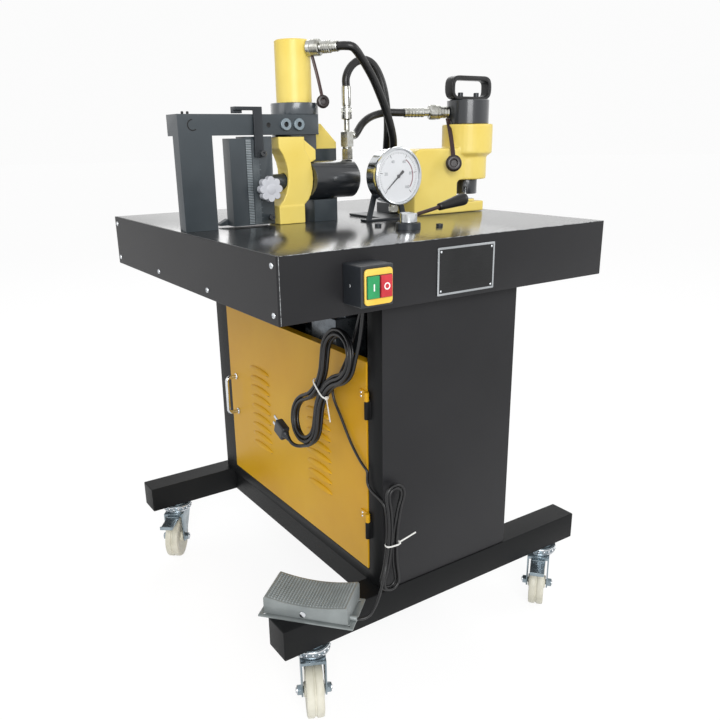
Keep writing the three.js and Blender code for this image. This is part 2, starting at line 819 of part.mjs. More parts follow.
for (let i = 0; i < slotCount; i += 1) {
  const slot = box(-slotWide / 2, slotWide / 2, 0, stripperRadius + overrun, -overrun, stripperTall / 2);
  const turn = slotTurn + (i / slotCount) * wholeTurn;
  slots.push(slot.rotate([0, 0, turn]).translate([punchX, punchY, stripperLow]));
}
finish('punch_stripper', cut(
  rod('z', [punchX, punchY, stripperLow], stripperTall, stripperRadius),
  rod('z', [punchX, punchY, stripperLow - overrun], stripperTall + 2 * overrun, ramBore),
  ...slots,
), ...toolBlack);
const cylinderTop = cylinderLow + punchCylTall + fit;
const stadium = (wide, tall, lift, radius) => {
  const outline = new THREE.Shape();
  outline.moveTo(-wide / 2 + radius, lift);
  outline.lineTo(wide / 2 - radius, lift);
  outline.quadraticCurveTo(wide / 2, lift, wide / 2, lift + radius);
  outline.lineTo(wide / 2, lift + tall - radius);
  outline.quadraticCurveTo(wide / 2, lift + tall, wide / 2 - radius, lift + tall);
  outline.lineTo(-wide / 2 + radius, lift + tall);
  outline.quadraticCurveTo(-wide / 2, lift + tall, -wide / 2, lift + tall - radius);
  outline.lineTo(-wide / 2, lift + radius);
  outline.quadraticCurveTo(-wide / 2, lift, -wide / 2 + radius, lift);
  return outline;
};
const handleRound = handleTall / 2 - handleFoot / 2;
finish('punch_handle', join(
  cut(
    plateY(stadium(handleWide, handleTall, 0, handleRound), -handleDeep / 2, handleDeep, bendSteps),
    plateY(stadium(handleWide - 2 * handleBand, handleTall - handleBand - handleFoot, handleFoot,
      handleRound - handleBand), -handleDeep / 2 - overrun, handleDeep + 2 * overrun, bendSteps),
  ),
  ...[-1, 1].map((side) => rod('z', [side * handleWide * handleScrewShare, 0, handleFoot - fit], handleScrew,
    handleScrew, handleScrew, smallSides)),
).translate([punchX, punchY, cylinderTop]), ...rubber);

// A quick coupler along +Y from the origin: nut, neck, collar and the hose ferrule
function coupler(long, radii, shares, sides) {
  const ends = [0, ...shares, 1];
  return join(...radii.map((radius, i) => {
    const low = i > 0 && radius < radii[i - 1] ? fit : 0;
    const high = i < radii.length - 1 && radius < radii[i + 1] ? fit : 0;
    return rod('y', [0, long * ends[i] - low, 0], long * (ends[i + 1] - ends[i]) + low + high, radius, radius,
      sides);
  }));
}
const punchPortZ = cylinderLow + punchPortDrop;
const punchPortTurn = punchPortAngle * radians;
const punchOut = (reach) => [punchX + (punchCylRadius + reach) * Math.cos(punchPortTurn),
  punchY + (punchCylRadius + reach) * Math.sin(punchPortTurn), punchPortZ];
const quarterTurn = wholeTurn / 4;
finish('punch_coupler', coupler(punchCouplerLong, punchStepRadii, punchStepShares, smallSides)
  .rotate([0, 0, punchPortAngle - quarterTurn]).translate(punchOut(fit)), ...chrome);

// Portal of the bending station: the column, and the bar that ties it to the cutter head
const barZ = bench + barLow;
const barTop = barZ + barTall;
const barRight = cutterX + (columnWide - tongueLong) / 2 + columnWide / 2;
const cutterTangent = cutterX - headLowRadius - overrun;
const socketX = (i) => barRight - socketInset - i * socketPitch;
const sockets = [0, 1].map((i) => cut(
  rod('y', [socketX(i), stationFront - socketProud, barZ + barTall / 2], socketProud + fit, socketRadius,
    socketRadius),
  rod('y', [socketX(i), stationFront - socketProud - overrun, barZ + barTall / 2],
    socketProud + overrun - fit, socketBore, socketBore, hexSides),
));
finish('portal', join(
  box(columnX, columnX + columnWide, stationFront, stationFront + columnDeep, bench, barZ + fit),
  box(columnX, cutterTangent, stationFront, stationFront + barDeep, barZ, barTop),
  box(cutterTangent - fit, barRight, stationFront, stationFront + tongueDeep, barZ, barTop),
  ...sockets,
), ...toolBlack);

// Bender frame: a yellow C plate with the ram bore and a lug at its upper right
const frameRight = frameLeft + frameWide;
const frameTop = bench + frameTall;
const boreZ = bench + boreHeight;
const frameY = stationFront + frameDeep / 2;
const bendShape = new THREE.Shape();
bendShape.moveTo(frameLeft, bench);
bendShape.lineTo(frameRight, bench);
bendShape.lineTo(frameRight, bench + footTall);
bendShape.bezierCurveTo(frameRight + bulge * backShares.bow, bench + footTall * backShares.low,
  frameRight + bulge * backShares.bow, frameTop - footTall * backShares.high,
  frameRight + bulge * backShares.tip, frameTop - footTall * backShares.shoulder);
bendShape.lineTo(frameRight + bulge * backShares.tip, frameTop);
bendShape.lineTo(frameLeft + bulge * backShares.tip, frameTop);
bendShape.lineTo(frameLeft + bulge * mouthShares.tip, frameTop - footTall * mouthShares.shoulder);
bendShape.bezierCurveTo(frameLeft + recess * mouthShares.bowHigh, frameTop - footTall * mouthShares.high,
  frameLeft + recess * mouthShares.bowLow, bench + footTall * mouthShares.low, frameLeft, bench + footTall);
bendShape.closePath();
const lugZ = frameTop - lugTall;
const lugShape = [
  [frameRight - fit, frameTop], [frameRight + lugReach, frameTop - lugTall / 2],
  [frameRight + lugReach, lugZ + lugBack], [frameRight + lugReach * lugToeShare, lugZ],
  [frameRight - fit, lugZ],
];
const lugY = stationFront + lugBack;
const ramHole = bendRamRadius + turnFit;
finish('bend_frame', cut(
  join(plateY(bendShape, stationFront, frameDeep), plateY(lugShape, lugY, frameDeep - lugBack)),
  rod('x', [frameLeft - overrun, frameY, boreZ], frameWide + lugReach + 2 * overrun, ramHole),
), ...yellow);

// Horizontal bending cylinder, its left end shaped to the frame's curved back
const frameShadow = plateY(bendShape, stationFront - 2 * bendRadius, 4 * bendRadius);
const bendLeft = frameRight - fit;
finish('bend_cylinder', cut(
  turned([[0, bendLeft], [bendRadius, bendLeft], [bendRadius, bendEnd - bendChamfer],
    [bendRadius - bendChamfer, bendEnd], [0, bendEnd]], [0, frameY, boreZ], 'x', smoothSides),
  frameShadow.translate([fit, 0, 0]), frameShadow, plateY(lugShape, lugY - fit, frameDeep),
  rod('x', [bendLeft - overrun, frameY, boreZ], frameWide, ramHole),
), ...toolBlack);

// Cutter head, its cylinder and the blade that it drives down behind the bender frame
const headLowZ = bench + headLift;
const headTopZ2 = bench + headTop;
finish('cutter_head', cut(
  rod('z', [cutterX, cutterY, headLowZ], headTopZ2 - headLowZ, headLowRadius, headLowRadius, smoothSides),
  box(cutterX - 2 * headLowRadius, cutterX + 2 * headLowRadius, stationFront - headLowRadius,
    cutterY - headFrontCut, headLowZ - overrun, barZ - fit),
  box(cutterX - 2 * headLowRadius, cutterX + 2 * headLowRadius, stationFront - headLowRadius,
    stationFront + tongueDeep + fit, headLowZ - overrun, barTop + fit),
), ...toolBlack);
finish('cutter_cylinder', turned([[0, 0], [cutterRadius, 0], [cutterRadius, cutterTall - cutterChamfer],
  [cutterRadius - cutterChamfer, cutterTall], [0, cutterTall]], [cutterX, cutterY, headTopZ2 + fit], 'z',
smoothSides), ...yellow);
const portTurn = cutterPortAngle * radians;
const portZ = headTopZ2 + fit + cutterTall - cutterPortDrop;
finish('cutter_coupler', coupler(cutterCouplerLong, cutterStepRadii, cutterStepShares, smallSides)
  .rotate([0, 0, cutterPortAngle - quarterTurn]).translate([
    cutterX + (cutterRadius + fit) * Math.cos(portTurn), cutterY + (cutterRadius + fit) * Math.sin(portTurn),
    portZ]), ...chrome);
const bladeY = cutterY + bladeBack;
finish('cutter_blade', box(cutterX - bladeWide / 2, cutterX + bladeWide / 2, bladeY, bladeY + bladeThick,
  headLowZ - fit - bladeTall, headLowZ - fit), ...chrome);

// Saddle under the bending cylinder, with the block, wedge and lower blade of the cutter behind
const blockX = cutterX + headLowRadius + fit;
const blockY = frameY + bendRadius + turnFit;
const blockTop = bench + blockTall;
const saddleX = frameRight + bulge + fit;
finish('cutter_block', join(
  box(saddleX, saddleX + saddleWide, frameY - saddleDeep / 2, blockY + fit, bench,
    boreZ - bendRadius - fit),
  box(blockX, blockX + blockWide, blockY, blockY + blockDeep, bench, blockTop),
  plateY([[blockX, blockTop - fit], [blockX + blockWide, blockTop - fit],
    [blockX + blockWide, blockTop + wedgeToe], [blockX + wedgeTop, blockTop + wedgeTall],
    [blockX, blockTop + wedgeTall]], blockY, blockDeep),
  box(blockX - lowBladeLong, blockX + overrun, bladeY + bladeThick + shearGap,
    bladeY + bladeThick + shearGap + lowBladeDeep, bench, bench + lowBladeTall),
), ...toolBlack);

// Sliding bending former: guide channel, scale and comb plate with its ram rod, strap and clamp screw
const slideZ = bench + slideLow;
const toeFront = stationFront + columnDeep + turnFit;
finish('guide_channel', join(
  box(channelX, channelX + channelWide, stationFront + fit, stationFront + channelDeep, slideZ,
    slideZ + slideTall - dieDrop),
  box(channelX, channelX + channelWide, stationFront + channelDeep - fit, toeFront + toeDeep, slideZ,
    slideZ + toeTall),
  plateY([[channelX + fit, slideZ], [channelX + fit, slideZ + toeTall], [channelX - toeLong, slideZ + toeLip],
    [channelX - toeLong, slideZ]], toeFront, toeDeep),
), ...toolBlack);
const dieRight = dieLeft + dieWide;
finish('bend_die', join(
  cut(
    join(
      box(dieLeft, dieLeft + rulerWide, stationFront + fit, stationFront + dieThick, slideZ,
        slideZ + slideTall),
      box(dieLeft + rulerWide - fit, dieRight, stationFront + combStep, stationFront + dieThick, slideZ,
        slideZ + slideTall),
    ),
    rod('y', [knobX, stationFront - overrun, bench + knobHeight], dieThick + 2 * overrun, knobShaft + turnFit,
      knobShaft + turnFit, smallSides),
  ),
  rod('x', [dieRight - fit, frameY, boreZ], frameRight - dieRight, bendRamRadius),
), ...toolBlack);
const strapX = dieRight - strapInset - strapWide;
const strapY = stationFront - strapFront - strapGap;
finish('hold_strap', join(
  box(strapX, strapX + strapWide, strapY, strapY + strapFront, barZ - strapDrop, barTop + strapRise),
  box(strapX + strapWide - strapReach, strapX + strapWide, strapY, strapY + strapWide,
    barTop + strapRise - fit, barTop + strapRise + strapBand),
  box(strapX + strapWide - strapReach, strapX + 2 * strapWide - strapReach, strapY + strapFront + strapGap,
    strapY + strapWide, barTop + strapGap, barTop + strapRise),
  box(strapX, strapX + strapWide, strapY + strapFront - fit, stationFront + combStep - fit,
    barZ - strapDrop, barZ - strapDrop / 2),
), ...toolBlack);
const star = new THREE.Shape();
for (let i = 0; i < knobLobes * knobLobeSteps; i += 1) {
  const angle = (i / (knobLobes * knobLobeSteps)) * 2 * Math.PI;
  const r = knobRadius - knobLobe + knobLobe * Math.cos(knobLobes * angle);
  if (i === 0) star.moveTo(r, 0); else star.lineTo(r * Math.cos(angle), r * Math.sin(angle));
}
star.closePath();
const starAt = (y) => plateY(star, y, knobThick).translate([knobX, 0, bench + knobHeight]);
finish('clamp_screw', join(
  starAt(stationFront - knobFront - knobThick),
  starAt(stationFront + knobRear),
  rod('y', [knobX, stationFront - knobFront - fit, bench + knobHeight], knobFront + knobRear + 2 * fit,
    knobShaft, knobShaft, smallSides),
), 0xb9bbc2, 0.4, 0.1);

// Fitting stack on the bending cylinder, with a side port for the punch's hose
const stackX = bendEnd - stackInset;
const stackLow = boreZ + bendRadius + fit;
finish('bend_coupler', join(
  coupler(bendCouplerTall, stackStepRadii, stackStepShares, smallSides).rotate([quarterTurn, 0, 0])
    .translate([stackX, frameY, stackLow]),
  rod('x', [0, 0, 0], teeLong + teeRadius, teeRadius, teeRadius, smallSides)
    .rotate([0, -teeRise, teeTurn]).translate([stackX, frameY, stackLow + teeHeight]),
), ...chrome);

// Gauge: a can with a bezel and an open dial recess, on a stem
const gaugeZ = bench + gaugeLift;
const gaugeBack = gaugeFront + canDeep;
const dialFace = gaugeFront + dialDeep;
finish('gauge_case', join(
  turned([[0, dialFace], [dialRadius, dialFace], [dialRadius, gaugeFront], [bezelRadius, gaugeFront],
    [bezelRadius, gaugeFront + bezelThick], [canRadius, gaugeFront + bezelThick], [canRadius, gaugeBack],
    [0, gaugeBack]], [gaugeX, 0, gaugeZ], 'y', smoothSides),
  rod('z', [gaugeX, gaugeBack - canDeep / 2, gaugeZ - stemLong], stemLong - canRadius + overrun, stemRadius,
    stemRadius, smallSides),
), ...chrome);
const needle = join(
  plateY([[-needleTail, -needleWide], [-needleTail, needleWide], [needleLong, needleTip],
    [needleLong, -needleTip]], 0, needleThick),
  rod('y', [0, -needleThick, 0], 2 * needleThick + needleLift - fit, needleHub, needleHub, smallSides),
);
finish('gauge_needle', needle.rotate([0, -needleRest, 0])
  .translate([gaugeX, dialFace - needleLift - needleThick, gaugeZ]), 0x202022, 0.5, 0.2);

// Gauge bracket: two splayed legs behind the can, a foot, and the hose block at the rear
const legY = gaugeBack + fit;
const legBase = bench;
const leg = (side) => plateY([
  [gaugeX + side * legSpread / 2, legBase], [gaugeX + side * (legSpread / 2 - legWide), legBase],
  [gaugeX + side * (legTop / 2 - legWide), legBase + legTall],
  [gaugeX + side * legTop / 2, legBase + legTall],
], legY, legThick);
const linkX = hoseBlockX - hoseBlockWide / 2;
finish('gauge_bracket', join(
  leg(1), leg(-1),
  box(gaugeX - legTop / 2, gaugeX + legTop / 2, legY, legY + legThick, legBase + legTall - legWide,
    legBase + legTall),
  box(gaugeX - legSpread / 2, gaugeX + legSpread / 2, legY, legY + footDeep, legBase, legBase + legThick),
  box(gaugeX, gaugeX + linkWide, legY, hoseBlockFront + hoseBlockDeep, legBase, legBase + legThick),
  box(gaugeX, hoseBlockX, hoseBlockFront, hoseBlockFront + hoseBlockDeep, legBase, legBase + legThick),
  box(linkX, linkX + hoseBlockWide, hoseBlockFront, hoseBlockFront + hoseBlockDeep, legBase,
    legBase + hoseBlockTall),
), ...toolBlack);

// Selector valve: a fixed ring with a spindle, and the hub with its lever
finish('valve_body', join(
  rod('z', [valveX, valveY, bench], valveTall, valveRadius, valveRadius, smoothSides),
  rod('z', [valveX, valveY, bench], valveTall + hubTall / 2, leverRadius, leverRadius, smallSides),
), ...toolBlack);
const hubZ = bench + valveTall + fit;
const leverRod = join(
  rod('x', [hubTopRadius - 2 * leverRadius, 0, 0], leverReach, leverRadius, leverRadius, smallSides),
  rod('x', [hubTopRadius - 2 * leverRadius + leverReach - fit, 0, 0], gripLong, gripThin, gripThick),
).rotate([0, -leverTilt, 0]);
finish('valve_lever', join(
  cut(
    rod('z', [valveX, valveY, hubZ], hubTall, hubTopRadius, hubTopRadius, smoothSides),
    rod('z', [valveX, valveY, hubZ - overrun], hubTall / 2 + 2 * overrun, leverRadius + turnFit,
      leverRadius + turnFit, smallSides),
  ),
  leverRod.translate([valveX, valveY, hubZ + leverLift]),
), ...chrome);

// Pump unit: the oil tank on the cabinet floor, the motor on the tank, and the valve block
const tankLow = cabinetLow + wall + fit;
const tankTop = tankLow + tankTall;
finish('oil_tank', box(-tankWide / 2, tankWide / 2, tankY - tankDeep / 2, tankY + tankDeep / 2, tankLow,
  tankTop), ...black);
const blockLow = tankTop + fit + valveBlockLow;
const solenoid = (i) => rod('z', [valveBlockX, valveBlockY + i * solenoidPitch / 2,
  blockLow + valveBlockTall - fit], solenoidTall + fit, solenoidRadius);
const motor = rod('z', [valveBlockX + valveBlockWide, motorY, tankTop + fit], motorTall, motorRadius,
  motorRadius, smoothSides);
finish('pump_unit', join(
  motor,
  box(valveBlockX - riserWide / 2, valveBlockX + valveBlockWide, valveBlockY - riserWide / 2,
    valveBlockY + riserWide / 2, tankTop + fit, blockLow + fit),
  box(valveBlockX - valveBlockWide / 2, valveBlockX + valveBlockWide / 2, valveBlockY - valveBlockDeep / 2,
    valveBlockY + valveBlockDeep / 2, blockLow, blockLow + valveBlockTall),
  box(valveBlockX, valveBlockX + valveBlockWide, valveBlockY - riserWide / 2, motorY, tankTop + fit,
    tankTop + fit + riserWide),
  solenoid(-1), solenoid(1),
), ...toolBlack);

// Hoses: smooth tubes whose ends run square into their fittings
class Route extends THREE.Curve {
  constructor(points) {
    super();
    this.path = new THREE.CatmullRomCurve3(points.map((p) => new THREE.Vector3(...p)), false, 'centripetal');
  }

  getPoint(t, target = new THREE.Vector3()) { return this.path.getPointAt(t, target); }
}
function tube(points, radius, sides, step) {
  const ring = new THREE.Shape();
  for (let i = 0; i < sides; i += 1) {
    const angle = (i / sides) * 2 * Math.PI;
    if (i === 0) ring.moveTo(radius, 0); else ring.lineTo(radius * Math.cos(angle), radius * Math.sin(angle));
  }
  ring.closePath();
  const extrudePath = new Route(points);
  const steps = Math.round(extrudePath.getLength() / step);
  return solid(new THREE.ExtrudeGeometry(ring, { steps, extrudePath }));
}
const hoseTop = bench + hoseBlockTall + fit;
const cutterOut = (extra) => {
  const reach = cutterRadius + cutterCouplerLong + 2 * fit + extra;
  return [cutterX + reach * Math.cos(portTurn), cutterY + reach * Math.sin(portTurn), portZ];
};
const cutterHose = [cutterOut(0), cutterOut(hoseRadius), [-22, -84, 1174], [-2, -80, 1159], [20, -72, 1140],
  [40, -65, 1119], [61, -57, 1092], [81, -49, 1064], [99, -42, 1031], [112, -33, 1001], [125, -8, 950],
  [hoseBlockX, 1, hoseTop + hoseRise], [hoseBlockX, 1, hoseTop]];
finish('cutter_hose', tube(cutterHose, hoseRadius, hoseSides, hoseStep), ...rubber);
const stackTop = stackLow + bendCouplerTall + fit;
const bendHose = [[stackX, frameY, stackTop], [stackX, frameY, stackTop + hoseStart], [23, -2, 1141],
  [36, -2, 1154], [53, -3, 1161], [71, -5, 1159], [84, -8, 1148], [95, -11, 1128], [102, -14, 1104],
  [107, -15, 1075], [110, -15, 1046], [113, -10, 1015], [121, 4, 982], [134, 20, 940],
  [hoseBlockX, 27, hoseTop + hoseRise],
  [hoseBlockX, 27, hoseTop]];
finish('bend_hose', tube(bendHose, hoseRadius, hoseSides, hoseStep), ...rubber);
const teeOut = (reach) => {
  const flat = reach * Math.cos(teeRise * radians);
  return [stackX + flat * Math.cos(teeTurn * radians), frameY + flat * Math.sin(teeTurn * radians),
    stackLow + teeHeight + reach * Math.sin(teeRise * radians)];
};
const teeEnd = teeLong + teeRadius + fit;
const punchEnd = punchCouplerLong + 2 * fit;
const punchHose = [teeOut(teeEnd), teeOut(teeEnd + hoseRadius), [71, 21, 1040], [90, 25, 1051],
  [111, 26, 1058], [132, 20, 1062], punchOut(punchEnd + hoseRadius), punchOut(punchEnd)];
finish('punch_hose', tube(punchHose, hoseRadius, hoseSides, hoseStep), ...rubber);

// Junction box under the table top; both cords leave its nose beside the door's hinge axis and hang on the
// door, so they turn with it
const glandX = -half - fit;
const noseLow = cabinetTop - boxTall - noseTall;
finish('cable_gland', join(
  box(glandX - boxWide, glandX, hingeY - boxDeep / 2, hingeY + boxDeep / 2, cabinetTop - boxTall, cabinetTop),
  box(glandX - noseWide, glandX, hingeY - noseDeep / 2, hingeY + noseDeep / 2, noseLow,
    cabinetTop - boxTall + fit),
), ...rubber);
const mainsTop = [hingeX - mainsRadius, hingeY, noseLow - fit];
const footTop = [hingeX + footRadius / 2, hingeY + 2 * footRadius, noseLow - fit];

// The closed outline of a hank's outermost run: two round lobes and a drawn-in waist, by arc length
function hankOutline(lobe, waist, reach) {
  const neck = (reach * reach + waist * waist - lobe * lobe) / (2 * (lobe - waist));
  const meet = Math.atan2(reach, neck + waist);
  const lobeArc = lobe * (Math.PI / 2 + meet);
  const quarter = lobeArc + neck * meet;
  const at = (distance) => {
    const index = Math.floor(distance / quarter);
    const along = distance - index * quarter;
    const run = index % 2 === 0 ? along : quarter - along;
    const side = index % 4 < 2 ? 1 : -1;
    const end = index % 4 === 0 || index % 4 === 3 ? 1 : -1;
    if (run <= lobeArc) {
      const turn = run / lobe;
      return { u: side * lobe * Math.sin(turn), v: end * (reach + lobe * Math.cos(turn)),
        nu: side * Math.sin(turn), nv: end * Math.cos(turn) };
    }
    const turn = meet - (run - lobeArc) / neck;
    return { u: side * (neck + waist - neck * Math.cos(turn)), v: end * neck * Math.sin(turn),
      nu: side * Math.cos(turn), nv: -end * Math.sin(turn) };
  };
  return { length: 4 * quarter, at };
}

// A hank's centre line from its start share: each loop a step inside the last, and out again a layer on
function hankLine({ top, bottom, side, out, lobe, waist, step, loops, startShare }) {
  const middle = top.clone().add(bottom).divideScalar(2);
  const reach = top.distanceTo(bottom) / 2;
  const along = top.clone().sub(bottom).normalize();
  const across = side.clone().addScaledVector(along, -side.dot(along)).normalize();
  const rise = out.clone().addScaledVector(along, -out.dot(along)).normalize();
  const outline = hankOutline(lobe, waist, reach);
  const points = [];
  const count = Math.round(loops * hankSteps);
  for (let i = 0; i <= count; i += 1) {
    const turn = (i / count) * loops;
    const inset = step * Math.min(turn, loops - turn);
    const climb = THREE.MathUtils.smoothstep(turn, loops / 2 - climbShare, loops / 2 + climbShare) - 1 / 2;
    const { u, v, nu, nv } = outline.at((turn + startShare) * outline.length);
    points.push(middle.clone().addScaledVector(across, u - inset * nu).addScaledVector(along, v - inset * nv)
      .addScaledVector(rise, step * climb));
  }
  return points;
}

// A lead between a point with a direction and a hank's end, as points without its last one
function leadLine(from, fromWay, to, toWay, pull) {
  const a = from.clone().addScaledVector(fromWay, pull);
  const b = to.clone().addScaledVector(toWay, -pull);
  return new THREE.CubicBezierCurve3(from, a, b, to).getSpacedPoints(leadSteps).slice(0, -1);
}

// One unbroken tube along a list of points, its rings carried along without twist
function sweep(points, radius, sides) {
  const way = (i) => points[Math.min(i + 1, points.length - 1)].clone()
    .sub(points[Math.max(i - 1, 0)]).normalize();
  let across = new THREE.Vector3(1, 0, 0).cross(way(0));
  if (across.length() < fit) across = new THREE.Vector3(0, 1, 0).cross(way(0));
  const vertices = [];
  points.forEach((point, i) => {
    const forward = way(i);
    across.addScaledVector(forward, -across.dot(forward)).normalize();
    const up = forward.clone().cross(across);
    for (let k = 0; k < sides; k += 1) {
      const angle = (k / sides) * 2 * Math.PI;
      const spot = point.clone().addScaledVector(across, radius * Math.cos(angle))
        .addScaledVector(up, radius * Math.sin(angle));
      vertices.push(spot.x, spot.y, spot.z);
    }
  });
  const index = [];
  for (let i = 0; i + 1 < points.length; i += 1) {
    for (let k = 0; k < sides; k += 1) {
      const a = i * sides + k;
      const b = i * sides + ((k + 1) % sides);
      index.push(a, b, b + sides, a, b + sides, a + sides);
    }
  }
  const last = (points.length - 1) * sides;
  for (let k = 1; k + 1 < sides; k += 1) index.push(0, k + 1, k, last, last + k, last + k + 1);
  const geometry = new THREE.BufferGeometry();
  geometry.setAttribute('position', new THREE.Float32BufferAttribute(vertices, 3));
  geometry.setIndex(index);
  return solid(geometry);
}

// The least gap of a tube to itself, measured between points that lie apart along it
function selfGap(points, radius) {
  let least = Infinity;
  const fine = new THREE.CatmullRomCurve3(points).getPoints(points.length * gapSteps);
  let travelled = 0;
  const distance = fine.map((point, i) => {
    if (i) travelled += point.distanceTo(fine[i - 1]);
    return travelled;
  });
  for (let i = 0; i < fine.length; i += 1) {
    for (let j = i + 1; j < fine.length; j += 1) {
      if (distance[j] - distance[i] > gapReach * radius) least = Math.min(least, fine[i].distanceTo(fine[j]));
    }
  }
  return { gap: least - 2 * radius, length: travelled };
}
const down = new THREE.Vector3(0, 0, -1);
const wayAt = (points, i) => points[i + 1].clone().sub(points[i]).normalize();

// Mains lead: down from the nose into its hank, and out at the foot of the hank to the plug
const hung = ({ out, along, drop }) => new THREE.Vector3(doorFace - out, hingeY + along, noseLow - drop);
const mainsHank = hankLine({
  top: hung(mainsHighLobe), bottom: hung(mainsLowLobe), side: new THREE.Vector3(0, -1, 0),
  out: new THREE.Vector3(-1, 0, 0), lobe: mainsLobe, waist: mainsWaist, step: mainsStep,
  loops: mainsTurns / hankSteps, startShare: mainsStartShare,
});
const mainsStart = new THREE.Vector3(...mainsTop);
const mainsEnd = mainsHank.at(-1);
const mainsEndWay = wayAt(mainsHank, mainsHank.length - 2);
const plugSpot = hung(plugPlace);
const plugWay = new THREE.Vector3(0, Math.cos(plugRise * radians), Math.sin(plugRise * radians));
const mainsPoints = [
  mainsStart, ...leadLine(mainsStart.clone().addScaledVector(down, 2 * mainsRadius), down, mainsHank[0],
    wayAt(mainsHank, 0), mainsStartPull),
  ...mainsHank,
  ...leadLine(mainsEnd, mainsEndWay, plugSpot.clone().addScaledVector(plugWay, -2 * mainsRadius), plugWay,
    mainsEndPull).slice(1),
  plugSpot.clone().addScaledVector(plugWay, -2 * mainsRadius), plugSpot,
];
finish('mains_hank', sweep(mainsPoints, mainsRadius, hankSides), ...rubber);
const plugBody = plugBoot + plugLong;
finish('mains_plug', join(
  rod('y', [0, 0, 0], plugBoot + fit, plugBootRadius, plugThick / 2, smallSides),
  box(-plugThick / 2, plugThick / 2, plugBoot, plugBody, -plugWide / 2, plugWide / 2),
  box(-pinThick / 2, pinThick / 2, plugBody - fit, plugBody + pinLong, pinPitch - pinWide / 2,
    pinPitch + pinWide / 2),
  box(-pinThick / 2, pinThick / 2, plugBody - fit, plugBody + pinLong, -pinPitch - pinWide / 2,
    -pinPitch + pinWide / 2),
).rotate([plugRise, 0, 0]).translate(plugSpot.clone().addScaledVector(plugWay, fit).toArray()), ...rubber);

// Foot switch lead: behind the mains hank to the hinge axis, then in a hank of its own to the pedal
const crossZ = noseLow - crossDrop;
const leadSpots = leadRoute.map(([out, along, drop]) => hung({ out, along, drop }).toArray());
const footLead = [footTop, [footTop[0], footTop[1], footTop[2] - leadDrop], ...leadSpots,
  [hingeX, hingeY, crossZ + crossRise], [hingeX, hingeY, crossZ]];
finish('foot_lead', tube(footLead, footRadius, cordSides, cordStep), ...rubber);
const lowHung = ({ aside, out, rise }) => new THREE.Vector3(hingeX + aside, cabinetFront - out,
  beamTop + rise);
const footHank = hankLine({
  top: lowHung(footHighLobe), bottom: lowHung(footLowLobe), side: new THREE.Vector3(-1, 0, 0),
  out: new THREE.Vector3(0, -1, 0), lobe: footLobe, waist: footWaist, step: footStep,
  loops: footTurns / hankSteps, startShare: footStartShare,
});
const footStart = new THREE.Vector3(hingeX, hingeY, crossZ - fit);
const footEnd = footHank.at(-1);
const pedalTurn = pedalAngle * radians;
const glandWay = new THREE.Vector3(Math.cos(pedalTurn), Math.sin(pedalTurn), 0);
const glandReach = lidLong / 2 + glandLong + fit;
const pedalIn = new THREE.Vector3(pedalX, pedalY, beamTop + fit + glandZ)
  .addScaledVector(glandWay, glandReach)
  .addScaledVector(new THREE.Vector3(Math.sin(pedalTurn), -Math.cos(pedalTurn), 0), lidDeep / 4);
const footPoints = [
  footStart, ...leadLine(footStart.clone().addScaledVector(down, 2 * footRadius), down, footHank[0],
    wayAt(footHank, 0), footStartPull),
  ...footHank,
  ...leadLine(footEnd, wayAt(footHank, footHank.length - 2),
    pedalIn.clone().addScaledVector(glandWay, 2 * footRadius), glandWay.clone().negate(),
    footEndPull).slice(1),
  pedalIn.clone().addScaledVector(glandWay, 2 * footRadius), pedalIn,
];
finish('foot_hank', sweep(footPoints, footRadius, hankSides), ...rubber);
const hanks = [['mains', mainsPoints, mainsRadius], ['foot', footPoints, footRadius]];
for (const [name, points, radius] of hanks) {
  const { gap, length } = selfGap(points, radius);
  console.log(`${name} hank: least self gap ${gap.toFixed(2)} mm, length ${length.toFixed(0)} mm`);
}

// The origin goes to the middle of the footprint, on the floor; the cords don't count
const cordNames = ['cutter_hose', 'bend_hose', 'punch_hose', 'mains_hank', 'mains_plug', 'foot_lead',
  'foot_hank'];
const extent = new THREE.Box3();
for (const piece of part.children) if (!cordNames.includes(piece.name)) extent.expandByObject(piece);
const middle = extent.getCenter(new THREE.Vector3());
for (const piece of part.children) piece.position.set(-middle.x, -middle.y, -extent.min.z);

export default part;
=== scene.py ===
import json
import math
from math import cos, pi, radians, sin
import bmesh
import bpy
from mathutils import Matrix, Vector


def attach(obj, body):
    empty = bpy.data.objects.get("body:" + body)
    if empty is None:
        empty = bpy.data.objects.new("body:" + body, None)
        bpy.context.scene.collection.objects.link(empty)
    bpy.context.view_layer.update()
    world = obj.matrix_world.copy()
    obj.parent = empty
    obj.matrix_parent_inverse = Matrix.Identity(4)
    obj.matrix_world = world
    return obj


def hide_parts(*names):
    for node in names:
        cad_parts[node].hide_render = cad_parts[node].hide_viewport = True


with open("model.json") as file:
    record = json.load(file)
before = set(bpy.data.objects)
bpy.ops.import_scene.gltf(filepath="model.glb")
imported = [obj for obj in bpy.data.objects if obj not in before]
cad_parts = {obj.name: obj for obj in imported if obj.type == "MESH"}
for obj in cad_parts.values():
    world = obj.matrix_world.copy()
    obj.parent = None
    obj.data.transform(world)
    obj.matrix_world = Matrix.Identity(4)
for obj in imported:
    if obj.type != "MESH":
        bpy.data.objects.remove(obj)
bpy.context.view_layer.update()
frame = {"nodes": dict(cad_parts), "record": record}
scene = bpy.context.scene

